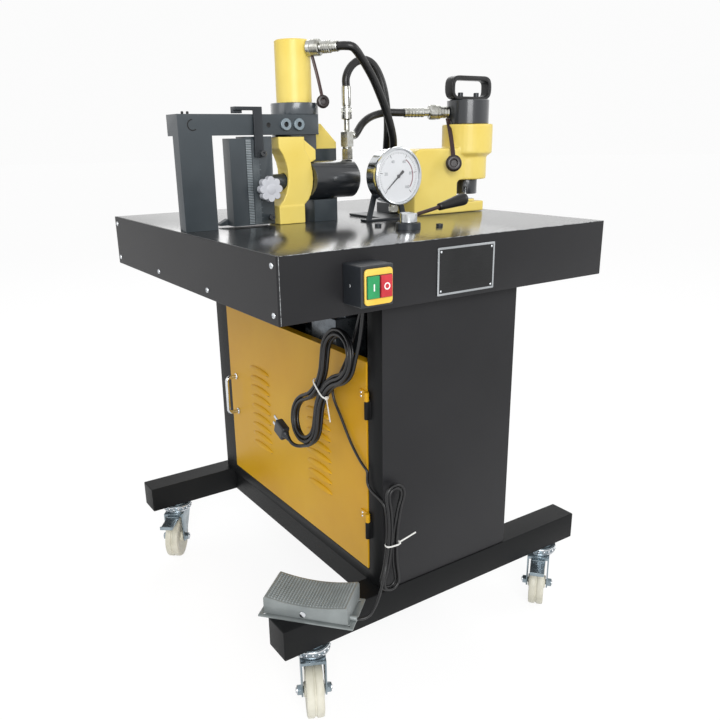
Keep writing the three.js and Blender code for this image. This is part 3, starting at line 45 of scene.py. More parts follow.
# The room: a pale floor that runs to the horizon, white air, a soft lamp by the photographer, a
# weaker one on each side and one behind the bench. The camera doesn't see the lamps themselves.
FLOOR_REACH, FLOOR_SIDES = 40, 96
FLOOR_GREY = 0.8
FLOOR_GLOW, GLOW_LEVEL = 0.8, 1.1
WORLD_FILL, WORLD_SEEN = 0.5, 0.97
LAMPS = {
    "key_lamp": ((-1.5, -3.1, 2), 1.9, 87),
    "fill_lamp": ((2.9, -2, 2.3), 1.6, 22),
    "side_lamp": ((-3.2, 0.6, 2.4), 1.8, 14),
    "back_lamp": ((1.6, 3, 3.2), 2.4, 36),
}
LAMP_TARGET = Vector((0, 0, 0.7))


def shader_node(tree, kind, **sockets):
    """A new shader node with its named inputs set."""
    made = tree.nodes.new(kind)
    for name, value in sockets.items():
        made.inputs[name.replace("_", " ")].default_value = value
    return made


def seen_share(tree):
    """1 for what is seen, straight or in a mirror or through glass, and 0 for the light on things."""
    path = tree.nodes.new("ShaderNodeLightPath")
    share = path.outputs["Is Camera Ray"]
    for other in ("Is Glossy Ray", "Is Transmission Ray"):
        most = tree.nodes.new("ShaderNodeMath")
        most.operation = "MAXIMUM"
        tree.links.new(share, most.inputs[0])
        tree.links.new(path.outputs[other], most.inputs[1])
        share = most.outputs[0]
    return share


def placed_object(name, data):
    """A new object of the scene."""
    obj = bpy.data.objects.new(name, data)
    scene.collection.objects.link(obj)
    return obj


world = bpy.data.worlds.new("studio_air")
world.use_nodes = True
scene.world = world
sky = world.node_tree
sky.nodes.clear()
fill = shader_node(sky, "ShaderNodeBackground", Color=(1, 1, 1, 1), Strength=WORLD_FILL)
white = shader_node(sky, "ShaderNodeBackground", Color=(1, 1, 1, 1), Strength=WORLD_SEEN)
blend = sky.nodes.new("ShaderNodeMixShader")
sky.links.new(seen_share(sky), blend.inputs[0])
sky.links.new(fill.outputs[0], blend.inputs[1])
sky.links.new(white.outputs[0], blend.inputs[2])
out = sky.nodes.new("ShaderNodeOutputWorld")
sky.links.new(blend.outputs[0], out.inputs[0])

floor_paint = bpy.data.materials.new("floor_paint")
floor_paint.use_nodes = True
floor_shader = floor_paint.node_tree.nodes["Principled BSDF"]
floor_shader.inputs["Base Color"].default_value = (FLOOR_GREY, FLOOR_GREY, FLOOR_GREY, 1)
floor_shader.inputs["Roughness"].default_value = 0.7
floor_tree = floor_paint.node_tree
glow = shader_node(floor_tree, "ShaderNodeEmission", Color=(1, 1, 1, 1), Strength=GLOW_LEVEL)
glow_share = floor_tree.nodes.new("ShaderNodeMath")
glow_share.operation = "MULTIPLY"
glow_share.inputs[1].default_value = FLOOR_GLOW
floor_tree.links.new(seen_share(floor_tree), glow_share.inputs[0])
floor_mix = floor_tree.nodes.new("ShaderNodeMixShader")
floor_tree.links.new(glow_share.outputs[0], floor_mix.inputs[0])
floor_tree.links.new(floor_shader.outputs[0], floor_mix.inputs[1])
floor_tree.links.new(glow.outputs[0], floor_mix.inputs[2])
floor_tree.links.new(floor_mix.outputs[0], floor_tree.nodes["Material Output"].inputs["Surface"])
floor_bm = bmesh.new()
bmesh.ops.create_circle(floor_bm, cap_ends=True, segments=FLOOR_SIDES, radius=FLOOR_REACH)
floor_mesh = bpy.data.meshes.new("floor")
floor_bm.to_mesh(floor_mesh)
floor_bm.free()
floor = placed_object("floor", floor_mesh)
floor.data.materials.append(floor_paint)

for lamp_name, (spot, width, power) in LAMPS.items():
    light = bpy.data.lights.new(lamp_name, "AREA")
    light.shape = "SQUARE"
    light.size = width
    light.energy = power
    lamp = placed_object(lamp_name, light)
    lamp.location = spot
    lamp.rotation_euler = (LAMP_TARGET - Vector(spot)).to_track_quat("-Z", "Y").to_euler()
    lamp.visible_camera = False
scene.view_settings.view_transform = "Standard"

# The camera stands where the photographer stood, in front of the left corner at chest height. Its
# place and turn follow from the straight edges of the table, the cabinet and the beams.
CAMERA_SPOT = Vector((-0.8544, -1.3124, 1.0113))
CAMERA_RIGHT = Vector((0.83057677, -0.55669477, -0.01526965))
CAMERA_UP = Vector((0.18347556, 0.2476478, 0.95131871))
CAMERA_AHEAD = Vector((0.52581265, 0.79294483, -0.3078304))
camera_data = bpy.data.cameras.new("photo_camera")
camera_data.sensor_width = 36
camera_data.lens = 36.877
camera_data.shift_x = 0.00957
camera_data.shift_y = 0.02308
camera_data.clip_end = 100
camera = placed_object("photo_camera", camera_data)
camera.matrix_world = Matrix.Translation(CAMERA_SPOT) @ Matrix(
    (CAMERA_RIGHT, CAMERA_UP, -CAMERA_AHEAD)
).transposed().to_4x4()
scene.camera = camera

# H base: four square steel tubes, welded and powder coated black with a fine texture.
# Most of the frame's plain steel keeps the CAD shape, with its edges rounded here.
MM = 0.001
COAT_ROUGHNESS = 0.16


def tint(code):
    """Linear colour from its six-digit code."""
    shares = [int(code[i:i + 2], 16) / 255 for i in (0, 2, 4)]
    return tuple(s / 12.92 if s < 0.04045 else ((s + 0.055) / 1.055) ** 2.4 for s in shares) + (1,)


def surface(name, dark, light, rough, metal=0, spread=0.06, grain=500, relief=0.05, mottle=30,
        stretch=(1, 1, 1), cover=0, shine=0.5):
    """A paint or metal: colour drifts over the piece, and a fine grain gives its relief and its gloss."""
    paint = bpy.data.materials.new(name)
    paint.use_nodes = True
    tree = paint.node_tree
    link = tree.links.new
    shader = tree.nodes["Principled BSDF"]
    shader.inputs["Metallic"].default_value = metal
    shader.inputs["Specular IOR Level"].default_value = shine
    shader.inputs["Coat Weight"].default_value = cover
    shader.inputs["Coat Roughness"].default_value = COAT_ROUGHNESS
    place = tree.nodes.new("ShaderNodeTexCoord")
    lay = shader_node(tree, "ShaderNodeMapping", Scale=stretch)
    link(place.outputs["Object"], lay.inputs["Vector"])
    drift = shader_node(tree, "ShaderNodeTexNoise", Scale=mottle, Detail=5)
    link(place.outputs["Object"], drift.inputs["Vector"])
    ramp = tree.nodes.new("ShaderNodeValToRGB")
    for stop, spot, code in zip(ramp.color_ramp.elements, (0.34, 0.66), (dark, light)):
        stop.position, stop.color = spot, tint(code)
    link(drift.outputs["Fac"], ramp.inputs["Fac"])
    link(ramp.outputs["Color"], shader.inputs["Base Color"])
    fine = shader_node(tree, "ShaderNodeTexNoise", Scale=grain, Detail=3)
    link(lay.outputs["Vector"], fine.inputs["Vector"])
    gloss = shader_node(tree, "ShaderNodeMapRange", From_Min=0.3, From_Max=0.7, To_Min=rough - spread,
        To_Max=rough + spread)
    link(fine.outputs["Fac"], gloss.inputs["Value"])
    link(gloss.outputs["Result"], shader.inputs["Roughness"])
    bump = shader_node(tree, "ShaderNodeBump", Strength=relief, Distance=MM)
    link(fine.outputs["Fac"], bump.inputs["Height"])
    link(bump.outputs["Normal"], shader.inputs["Normal"])
    return paint


def piece(name, bm, paint, slot, body="machine", node=None, soft=0, angle=32, steps=3):
    """A finished piece: its mesh, its finish, its body, and edges rounded by some millimetres."""
    mesh = bpy.data.meshes.new(name)
    bm.to_mesh(mesh)
    bm.free()
    for face in mesh.polygons:
        face.use_smooth = True
    obj = placed_object(name, mesh)
    for one in paint if isinstance(paint, tuple) else (paint,):
        mesh.materials.append(one)
    if soft:
        edge = obj.modifiers.new("edges", "BEVEL")
        edge.width = soft * MM
        edge.segments = steps
        edge.limit_method = "ANGLE"
        edge.angle_limit = radians(angle)
        edge.harden_normals = True
        edge.use_clamp_overlap = True
    else:
        mesh.set_sharp_from_angle(angle=radians(angle))
    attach(obj, body)
    if node:
        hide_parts(node)
    return obj


def merged(node):
    """A copy of a CAD solid with its corners joined."""
    bm = bmesh.new()
    bm.from_mesh(frame["nodes"][node].data)
    bmesh.ops.remove_doubles(bm, verts=bm.verts, dist=2e-6)
    return bm


def solid_of(node):
    """A copy of a CAD solid, its flat faces whole again."""
    bm = merged(node)
    bmesh.ops.dissolve_limit(bm, angle_limit=radians(0.5), verts=bm.verts, edges=bm.edges,
        delimit={"NORMAL"})
    for face in bm.faces:
        face.material_index = 0
    return bm


def body_of_node(node):
    return next(name for name, members in frame["record"]["behaviour"]["bodies"].items() if node in members)


def slot_of_node(node):
    return next(row["material_slot"] for row in frame["record"]["subparts"] if row["node"] == node)


def dress(node, paint, soft, steps=3, angle=32):
    """A CAD solid kept in its shape, with its edges rounded and a real finish."""
    return piece(f"{node}_shape", solid_of(node), paint, slot_of_node(node), body_of_node(node), node, soft,
        angle, steps)


powder_black = surface("powder_black", "0e0f10", "141516", 0.5, spread=0.09, grain=1400, relief=0.2,
    mottle=5, shine=0.16)
for beam in ("front_beam", "rear_beam", "left_rail", "right_rail"):
    dress(beam, powder_black, 2.4)

# Casters: stamped zinc forks on a ball race, and cream nylon wheels with a groove round the tread.
# Two of them have a pressed brake lever. The wheel turns on a bolt through the fork's legs.
HERE = Vector((0, 0, 0))
CASTER_X = 301
CASTER_Y = 335.75
CASTER_TRAIL, WHEEL_RADIUS = 28, 50
RACE_BALLS, RACE_RADIUS, RACE_HEIGHT, BALL_RADIUS = 18, 33.4, 125.5, 3
CASTER_HEADINGS = {"front_left": -116, "front_right": -140, "rear_left": -127, "rear_right": 48}
WHEEL_HALF = [
    (6.6, 19), (12.4, 19), (13.6, 18), (14, 13.5), (17, 12.6), (33, 14.6), (36, 15.6), (38.5, 16),
    (45.5, 16), (48.4, 15.2), (49.7, 13.2), (50, 9.5), (50, 3.4), (49.4, 2.2), (47.6, 1.2),
]
WHEEL_PROFILE = [(r, -h) for r, h in WHEEL_HALF] + [(47.2, 0)] + WHEEL_HALF[::-1] + [(6.6, -19)]
AXLE_HEAD = [(0, 0), (5.2, 0), (5.2, 2.6), (4.2, 3.6), (0, 3.9)]
wheel_cream = surface("wheel_cream", "c6c3b2", "dcd9ca", 0.42, spread=0.08, grain=260, relief=0.12,
    mottle=26)
zinc = surface("zinc", "78858d", "98a5ac", 0.3, metal=0.85, spread=0.1, grain=420, relief=0.06, mottle=38)
steel_bright = surface("steel_bright", "b9bdc1", "d3d6d9", 0.2, metal=1, grain=600, relief=0.03, mottle=22)


def mm(x, y, z):
    return Vector((x, y, z)) * MM


ORIGIN = mm(7.069, 21.793, 0)


def at(x, y, z):
    """A point of the machine, from millimetres off the middle of its bench and up from the floor."""
    return ORIGIN + mm(x, y, z)


def ball(bm, centre, radius, u, v):
    made = bmesh.ops.create_uvsphere(bm, u_segments=u, v_segments=v, radius=radius)
    bmesh.ops.translate(bm, vec=centre, verts=made["verts"])


def moved(bm, place):
    bmesh.ops.transform(bm, matrix=place, verts=bm.verts)


def pour(source, target):
    """Adds one bmesh to another, and lets go of it."""
    shell = bpy.data.meshes.new("poured")
    source.to_mesh(shell)
    source.free()
    target.from_mesh(shell)
    bpy.data.meshes.remove(shell)


def turn_to(axis):
    """The turn that takes +Z to an axis letter, or to a direction."""
    ways = {"x": (1, 0, 0), "y": (0, 1, 0), "z": (0, 0, 1)}
    way = Vector(ways[axis] if isinstance(axis, str) else axis)
    return way.to_track_quat("Z", "Y").to_matrix().to_4x4()


def spun(bm, profile, base, axis, sides):
    """A turned form: pairs of radius and height in millimetres, from a base along an axis."""
    wires = bmesh.new()
    dots = [wires.verts.new((r * MM, 0, h * MM)) for r, h in profile]
    for a, b in zip(dots, dots[1:]):
        wires.edges.new((a, b))
    bmesh.ops.spin(wires, geom=wires.verts[:] + wires.edges[:], cent=(0, 0, 0), axis=(0, 0, 1),
        angle=2 * pi, steps=sides, use_merge=True)
    bmesh.ops.remove_doubles(wires, verts=wires.verts, dist=1e-7)
    bmesh.ops.recalc_face_normals(wires, faces=wires.faces)
    moved(wires, Matrix.Translation(base) @ turn_to(axis))
    pour(wires, bm)


def caster_place(corner):
    side_x = -1 if corner.endswith("left") else 1
    side_y = -1 if corner.startswith("front") else 1
    return Matrix.Translation(at(side_x * CASTER_X, side_y * CASTER_Y, 0)) @ Matrix.Rotation(
        radians(CASTER_HEADINGS[corner]), 4, "Z")


for corner in CASTER_HEADINGS:
    place = caster_place(corner)
    dress(f"{corner}_fork", zinc, 0.7, steps=2)
    wheel = bmesh.new()
    spun(wheel, WHEEL_PROFILE, mm(CASTER_TRAIL, 0, WHEEL_RADIUS), "y", 72)
    moved(wheel, place)
    piece(f"{corner}_tyre", wheel, wheel_cream, "wheel_cream", body=f"{corner}_wheel",
        node=f"{corner}_wheel", angle=40)
    trim = bmesh.new()
    for side in (-1, 1):
        spun(trim, [(0, 0), (7.6, 0), (8.6, 0.9), (8.6, 1.7), (0, 1.7)],
            mm(CASTER_TRAIL, side * 30.5 - (1.7 if side < 0 else 0), WHEEL_RADIUS), "y", 32)
        head = AXLE_HEAD if side > 0 else [(r, -h) for r, h in reversed(AXLE_HEAD)]
        spun(trim, head, mm(CASTER_TRAIL, side * 30.3, WHEEL_RADIUS), "y", 24)
    for i in range(RACE_BALLS):
        angle = i / RACE_BALLS * 2 * pi
        ball(trim, mm(RACE_RADIUS * cos(angle), RACE_RADIUS * sin(angle), RACE_HEIGHT), BALL_RADIUS * MM,
            10, 6)
    spun(trim, [(34.2, 118.6), (34.8, 119.4), (34.8, 121.8), (33.2, 122.6)], HERE, "z", 48)
    spun(trim, [(33.2, 128.4), (34.8, 129.2), (34.8, 131.6), (34.2, 132.4)], HERE, "z", 48)
    moved(trim, place)
    piece(f"{corner}_race", trim, steel_bright, "zinc", body=f"{corner}_caster")
for corner in ("front_right", "rear_left"):
    dress(f"{corner}_brake", zinc, 0.9)

# Cabinet: folded sheet steel with welded posts, open at the left, powder coated with the base.
# The hinge barrels are short steel tubes welded to the front post.
panel_black = surface("panel_black", "1c1c1e", "232325", 0.46, spread=0.07, grain=1500, relief=0.16,
    mottle=3, shine=0.24)
shell = solid_of("cabinet_shell")
POST_EDGE = ORIGIN.x - 118 * MM
for face in shell.faces:
    if face.calc_center_median().x < POST_EDGE:
        face.material_index = 1
piece("cabinet_walls", shell, (panel_black, powder_black), "powder_black", node="cabinet_shell", soft=1.1)

# Door: a folded pan of sheet steel in golden yellow powder, with two columns of pressed louvres
# and hinge leaves with steel barrels. The pull is a bent chrome bar on two feet.
LEFT = (-1, 0, 0)
DOOR_FRONT, DOOR_REAR = -316, 268
DOOR_LOW, DOOR_TOP = 222.6, 636.6
DOOR_FACE, DOOR_DEEP, DOOR_SHEET = -158.5, 18, 1.6
LOUVRE_ROWS, LOUVRE_PITCH, LOUVRE_FIRST, LOUVRE_LONG = 9, 23, 327.6, 94
LOUVRE_OUT, LOUVRE_TALL, SLIT = 6.4, 9.4, 2.6
LOUVRE_COLUMNS = (62, -192)
HINGE_X, HINGE_Y, HINGE_TALL, HINGE_LOWS = -163, -322.5, 34, (292.6, 532.6)
LEAF_FACE, LEAF_BACK, LEAF_FRONT, LEAF_REAR = -161.5, -158.3, -318.5, -297


def block(bm, low, high):
    """A box between two corners."""
    size = Vector(high) - Vector(low)
    made = bmesh.ops.create_cube(bm, size=1)
    bmesh.ops.scale(bm, vec=size, verts=made["verts"])
    bmesh.ops.translate(bm, vec=(Vector(low) + Vector(high)) / 2, verts=made["verts"])
    return made["verts"]


def turned(name, profile, spots, axis, sides, paint, slot, **finish):
    """A piece of one turned form, or of the same form at several spots."""
    bm = bmesh.new()
    for spot in spots if isinstance(spots, list) else [spots]:
        spun(bm, profile, spot, axis, sides)
    return piece(name, bm, paint, slot, **finish)


door_yellow = surface("door_yellow", "c8940c", "d8a91c", 0.42, grain=1300, relief=0.12, mottle=2.4,
    shine=0.34)
pan = bmesh.new()
block(pan, at(DOOR_FACE, DOOR_FRONT, DOOR_LOW), at(DOOR_FACE + DOOR_DEEP, DOOR_REAR, DOOR_TOP))
back = max(pan.faces, key=lambda f: f.calc_center_median().x)
bmesh.ops.inset_region(pan, faces=[back], thickness=14 * MM)
bmesh.ops.delete(pan, geom=[back], context="FACES")
door_pan = piece("door_pan", pan, door_yellow, "door_yellow", body="door", node="left_door", soft=1.6)
door_wall = door_pan.modifiers.new("sheet", "SOLIDIFY")
door_wall.thickness = DOOR_SHEET * MM
door_wall.offset = -1
door_pan.modifiers.move(1, 0)
hoods = bmesh.new()
gap_shades = bmesh.new()
for column in LOUVRE_COLUMNS:
    for row in range(LOUVRE_ROWS):
        low = LOUVRE_FIRST + row * LOUVRE_PITCH
        hood = bmesh.ops.create_uvsphere(hoods, u_segments=20, v_segments=10, radius=1)["verts"]
        bmesh.ops.scale(hoods, vec=mm(LOUVRE_OUT, LOUVRE_LONG / 2, LOUVRE_TALL), verts=hood)
        edges = [e for e in hoods.edges if e.verts[0] in set(hood)]
        faces = [f for f in hoods.faces if f.verts[0] in set(hood)]
        bmesh.ops.bisect_plane(hoods, geom=list(hood) + edges + faces, plane_co=(0, 0, 0),
            plane_no=(0, 0, -1), clear_outer=True)
        fresh = [v for v in hoods.verts if abs(v.co.x) < 0.02 and abs(v.co.y) < 0.06 and abs(v.co.z) < 0.02]
        bmesh.ops.translate(hoods, vec=at(DOOR_FACE, column + LOUVRE_LONG / 2, low), verts=fresh)
        # Under each hood a thin black strip is painted shade, in place of the dark gap into the cabinet.
        block(gap_shades, at(DOOR_FACE - 0.3, column + 5, low - SLIT),
            at(DOOR_FACE + 0.2, column + LOUVRE_LONG - 5, low + 0.4))
piece("door_louvres", hoods, door_yellow, "door_yellow", body="door", angle=60)
piece("door_louvre_gap_shades", gap_shades, panel_black, "powder_black", body="door")
leaves = bmesh.new()
for low in HINGE_LOWS:
    z = low + HINGE_TALL + 0.3
    block(leaves, at(LEAF_FACE, LEAF_FRONT, z), at(LEAF_BACK, LEAF_REAR, z + HINGE_TALL / 2))
    spun(leaves, [(0, 0), (4.1, 0), (4.5, 0.5), (4.5, 16.5), (4.1, 17), (0, 17)], at(HINGE_X, HINGE_Y, z),
        "z", 32)
piece("door_hinge_leaves", leaves, door_yellow, "door_yellow", body="door", soft=0.5)
turned("door_hinge_screws", [(0, 0.9), (1.2, 1), (2, 0.7), (2.4, 0)],
    [at(LEAF_FACE, -303, low + HINGE_TALL + step) for low in HINGE_LOWS for step in (5, 12)], LEFT, 20,
    steel_bright, "zinc", body="door")

pull_line = bpy.data.curves.new("door_pull", "CURVE")
pull_line.dimensions = "3D"
pull_line.bevel_depth = 4.4 * MM
pull_line.bevel_resolution = 6
PULL_FACE, PULL_OUT, PULL_Y, PULL_LOW, PULL_HIGH, PULL_BEND = -158.9, -184.6, 234, 380.1, 469.1, 9
pull_run = pull_line.splines.new("POLY")
corner_turns = [step / 8 * pi / 2 for step in range(9)]
pull_dots = ([(PULL_FACE, PULL_LOW)] + [(PULL_OUT + PULL_BEND * (1 - sin(t)),
    PULL_LOW + PULL_BEND * (1 - cos(t))) for t in corner_turns]
    + [(PULL_OUT + PULL_BEND * (1 - cos(t)), PULL_HIGH - PULL_BEND * (1 - sin(t))) for t in corner_turns]
    + [(PULL_FACE, PULL_HIGH)])
pull_run.points.add(len(pull_dots) - 1)
for dot, (x, z) in zip(pull_run.points, pull_dots):
    dot.co = (*at(x, PULL_Y, z), 1)


def mesh_of_line(line):
    """A curve as a bmesh, in its own place."""
    holder = placed_object("line", line)
    shape = bpy.data.meshes.new_from_object(holder)
    bm = bmesh.new()
    bm.from_mesh(shape)
    bpy.data.objects.remove(holder)
    bpy.data.meshes.remove(shape)
    return bm


chrome = surface("chrome", "c6c9cc", "dcdfe1", 0.13, metal=1, spread=0.05, relief=0.02)
pull = mesh_of_line(pull_line)
for foot_z in (PULL_LOW, PULL_HIGH):
    spun(pull, [(0, 0), (7, 0), (7.4, 0.6), (7.4, 2.2), (6.4, 3), (4, 3.2)],
        at(PULL_FACE + 0.3, PULL_Y, foot_z), LEFT, 32)
piece("door_pull", pull, chrome, "chrome", body="door", node="door_handle")

# Table: a folded steel pan, its top polished black so that the tools mirror in it, with textured
# aprons. The left apron is a separate plate on six round-headed screws. The front apron's left and top
# edges carry a thin light strip, partly worn paint and partly a painted highlight.
TOP_Z, APRON_LEFT, APRON_FRONT, APRON_LOW, APRON_SHEET = 850, -363.5, -386, 745, 4
gloss_black = surface("gloss_black", "1d1d1e", "262627", 0.2, grain=160, relief=0.012, mottle=4, cover=0.6)
pan = solid_of("table_top")
for face in pan.faces:
    if face.normal.z > 0.9 and face.calc_center_median().z > (TOP_Z - 1) * MM:
        face.material_index = 1
piece("table_pan", pan, (panel_black, gloss_black), "powder_black", node="table_top", soft=1.2)


def boxed(name, low, high, paint, slot, **finish):
    """A piece made of one box."""
    bm = bmesh.new()
    block(bm, low, high)
    return piece(name, bm, paint, slot, **finish)


boxed("table_left_apron", at(APRON_LEFT, APRON_FRONT, APRON_LOW),
    at(APRON_LEFT + APRON_SHEET, -APRON_FRONT, TOP_Z), panel_black, "powder_black", node="left_apron",
    soft=0.9)
screws = bmesh.new()
for z, shares in ((760, (-1, -0.33, 0.33, 1)), (835, (-1, 1))):
    for share in shares:
        spun(screws, [(0, 0.9), (1.7, 0.9), (1.9, 2), (3.4, 1.8), (4.6, 0.9), (5, -0.2)],
            at(APRON_LEFT, share * 371, z), LEFT, 28)
piece("apron_screws", screws, steel_bright, "zinc")
# The edge strips: bright specks of worn paint, and a painted highlight along the edges where they catch the
# light.
worn_paint_and_painted_highlight = surface("worn_paint_and_painted_highlight", "18181a", "b4b7b9", 0.4, metal=0.4, relief=0.1, mottle=170)
worn_and_highlit_strips = bmesh.new()
spun(worn_and_highlit_strips, [(0, 0), (0.7, 0), (0.7, 103), (0, 103)], at(-359.3, -385.7, 746), "z", 12)
spun(worn_and_highlit_strips, [(0, 0), (0.5, 0), (0.5, 715), (0, 715)], at(-357.5, -385.6, 849.6), "x", 12)
piece("table_worn_and_highlit_edges", worn_and_highlit_strips, worn_paint_and_painted_highlight, "powder_black", angle=30)
tool_black = surface("tool_black", "23272b", "2f3439", 0.34, metal=0.15, grain=700, relief=0.06, mottle=9)
turned("table_bolts", [(0, 2.2), (2.9, 2.2), (3.1, 5.6), (5.8, 5.6), (6.5, 5), (6.5, 0.2), (0, 0.2)],
    [at(x, y, TOP_Z) for x, y in ((-30, -175), (57, -252))], "z", 36, tool_black, "tool_black", soft=0.3)

# Switch: a moulded black box on the front apron, with a yellow face, a green and a red rocker
# with moulded marks, and a screw in its side.
FRONT = (0, -1, 0)
SWITCH_X, SWITCH_WIDE, SWITCH_LOW, SWITCH_TALL = -220, 60, 766, 64
SWITCH_FACE, SWITCH_MIDDLE, SWITCH_LEFT = -438, 798, SWITCH_X - SWITCH_WIDE / 2
BUTTON_FACE, BUTTON_BACK = -446, -434.6
moulded_black = surface("moulded_black", "1c1f23", "262a2f", 0.4, grain=800, relief=0.07, mottle=14)
boxed("switch_case", at(SWITCH_LEFT, SWITCH_FACE, SWITCH_LOW),
    at(SWITCH_LEFT + SWITCH_WIDE, APRON_FRONT - 0.3, SWITCH_LOW + SWITCH_TALL), moulded_black,
    "switch_black", node="switch_box", soft=2.6, steps=4)


def prism(bm, outline, lift, place):
    """A plate with an outline in millimetres, lifted between two heights and put in its place."""
    work = bmesh.new()
    flat = [work.verts.new((x * MM, y * MM, lift[0] * MM)) for x, y in outline]
    face = work.faces.new(flat)
    made = bmesh.ops.extrude_face_region(work, geom=[face])
    rise = [v for v in made["geom"] if isinstance(v, bmesh.types.BMVert)]
    bmesh.ops.translate(work, vec=(0, 0, (lift[1] - lift[0]) * MM), verts=rise)
    bmesh.ops.recalc_face_normals(work, faces=work.faces)
    moved(work, place)
    pour(work, bm)


def plated(name, outline, lift, place, paint, slot, **finish):
    """A piece made of one plate."""
    bm = bmesh.new()
    prism(bm, outline, lift, place)
    return piece(name, bm, paint, slot, **finish)


def round_rect(x0, x1, y0, y1, radius, steps=6):
    """The outline of a rectangle with round corners."""
    dots = []
    for cx, cy, start in ((x1 - radius, y1 - radius, 0), (x0 + radius, y1 - radius, 90),
            (x0 + radius, y0 + radius, 180), (x1 - radius, y0 + radius, 270)):
        for step in range(steps + 1):
            turn = radians(start + 90 * step / steps)
            dots.append((cx + radius * cos(turn), cy + radius * sin(turn)))
    return dots


def facing_front(x, y, z):
    """Puts an outline drawn in X and Z on a face that looks to the operator."""
    return Matrix.Translation(at(x, y, z)) @ Matrix.Rotation(radians(90), 4, "X")


switch_yellow = surface("switch_yellow", "e8bf48", "f2cf62", 0.38, spread=0.05, grain=900, mottle=20)
plated("switch_face", round_rect(-25.6, 25.6, -27.6, 27.6, 6), (0, 4.2),
    facing_front(SWITCH_X, SWITCH_FACE, SWITCH_MIDDLE), switch_yellow, "door_yellow", soft=1.2)
plated("switch_well", round_rect(-23.6, 23.6, -17.9, 17.9, 1.6), (4.1, 4.6),
    facing_front(SWITCH_X, SWITCH_FACE, SWITCH_MIDDLE), moulded_black, "switch_black", soft=0.2)
button_white = surface("button_white", "e6e6e4", "f2f2f0", 0.4, spread=0.05, grain=700, relief=0.04)
button_green = surface("button_green", "1f8a50", "2b9a5e", 0.34, grain=800)
button_red = surface("button_red", "b5242e", "c6323c", 0.34, grain=800)
for button, x, paint, slot in (("start_button", -232, button_green, "button_green"),
        ("stop_button", -208, button_red, "button_red")):
    rocker = bmesh.new()
    block(rocker, at(x - 10.5, BUTTON_FACE, 781), at(x + 10.5, BUTTON_BACK, 815))
    piece(f"{button}_rocker", rocker, paint, slot, body=button, node=button, soft=1.4)
    mark = bmesh.new()
    if button == "start_button":
        prism(mark, round_rect(-1.1, 1.1, -5.5, 5.5, 0.6), (0, 0.35),
            facing_front(x, BUTTON_FACE, SWITCH_MIDDLE))
    else:
        spun(mark, [(3.6, 0), (3.6, 0.35), (5.6, 0.35), (5.6, 0)], at(x, BUTTON_FACE, SWITCH_MIDDLE), FRONT,
            40)
    piece(f"{button}_mark", mark, button_white, "plate_alu", body=button, angle=30)
turned("switch_side_screw", [(0, 0.5), (1.5, 0.6), (2.4, 0.3), (2.7, 0)], at(SWITCH_LEFT, -406, 797), LEFT,
    24, steel_bright, "zinc")

# Nameplate: a sheet of anodised aluminium with a bright rim round a satin black field, held on the
# front apron by four rivets.
plate_alu = surface("plate_alu", "a9adb0", "c3c6c9", 0.3, metal=0.95, spread=0.08, grain=300, mottle=12,
    stretch=(0.05, 1, 6))
field_black = surface("field_black", "18191a", "202122", 0.32, metal=0.4, spread=0.07, grain=400,
    relief=0.04, mottle=18, stretch=(0.05, 1, 6))
PLATE_X, PLATE_Z = 5, 794
plated("nameplate_rim", round_rect(-65, 65, -41, 41, 1.6, 3), (0.3, 1.75),
    facing_front(PLATE_X, APRON_FRONT, PLATE_Z), plate_alu, "plate_alu", node="nameplate", soft=0.35)
plated("nameplate_field", round_rect(-61.3, 61.3, -37.3, 37.3, 0.8, 3), (1.5, 1.95),
    facing_front(PLATE_X, APRON_FRONT, PLATE_Z), field_black, "plate_alu", soft=0.1)
turned("nameplate_rivets", [(0, 1.1), (1, 1), (1.9, 0.5), (2.2, 0)],
    [at(PLATE_X + x, APRON_FRONT - 1.9, PLATE_Z + z) for x in (-57.5, 57.5) for z in (-33.5, 33.5)], FRONT,
    20, steel_bright, "zinc")

# Foot pedal: two diecastings in grey hammertone, the treadle with a studded top over a lug base.
# It is parked on the front beam and turns on a cross pin.
PEDAL_SPOT, PEDAL_TURN = at(-293, -331, 196.6), radians(-48.7)
pedal_place = Matrix.Translation(PEDAL_SPOT) @ Matrix.Rotation(PEDAL_TURN, 4, "Z")
LID_LONG, LID_DEEP, LID_LOW, LID_END, LID_DIP = 156, 84, 7, 33, 9
pedal_grey = surface("pedal_grey", "7c8282", "8d9393", 0.42, metal=0.15, spread=0.08, grain=330,
    relief=0.16, mottle=18)
dress("pedal_base", pedal_grey, 0.9)
dress("pedal_treadle", pedal_grey, 2, angle=28)
studs = bmesh.new()
STUD_PITCH = 5.6
columns = int((LID_LONG - 14) / STUD_PITCH)
rows = int((LID_DEEP - 10) / STUD_PITCH)
for i in range(columns + 1):
    for j in range(rows + 1):
        u = (i - columns / 2) * STUD_PITCH
        w = (j - rows / 2) * STUD_PITCH
        share = (LID_LONG / 2 - 3 - u) / (LID_LONG - 6)
        z = LID_LOW + LID_END - 4 * LID_DIP * share * (1 - share)
        stud = bmesh.ops.create_cone(studs, cap_ends=True, segments=4, radius1=STUD_PITCH * 0.6 * MM,
            radius2=1.1 * MM, depth=3.2 * MM)["verts"]
        bmesh.ops.translate(studs, vec=mm(u, w, z + 0.7), verts=stud)
moved(studs, pedal_place)
piece("pedal_studs", studs, pedal_grey, "pedal_grey", body="pedal", angle=20)
pedal_trim = bmesh.new()
for side in (-1, 1):
    spun(pedal_trim, [(0, 3.9), (2.6, 3.8), (5.4, 3), (6, 2.2), (6, 0.1)],
        mm(-4, side * LID_DEEP / 2, LID_LOW + 8.5), (0, side, 0), 28)
moved(pedal_trim, pedal_place)
piece("pedal_pin_caps", pedal_trim, steel_bright, "zinc", body="pedal")

# Punch head: a C frame cast in yellow iron that opens to the right, with the ram, stripper and
# black cylinder over its die ring, and a bent strap handle on top.
tool_yellow = surface("tool_yellow", "ecd162", "f5df7c", 0.36, spread=0.05, grain=420, relief=0.07,
    mottle=7)


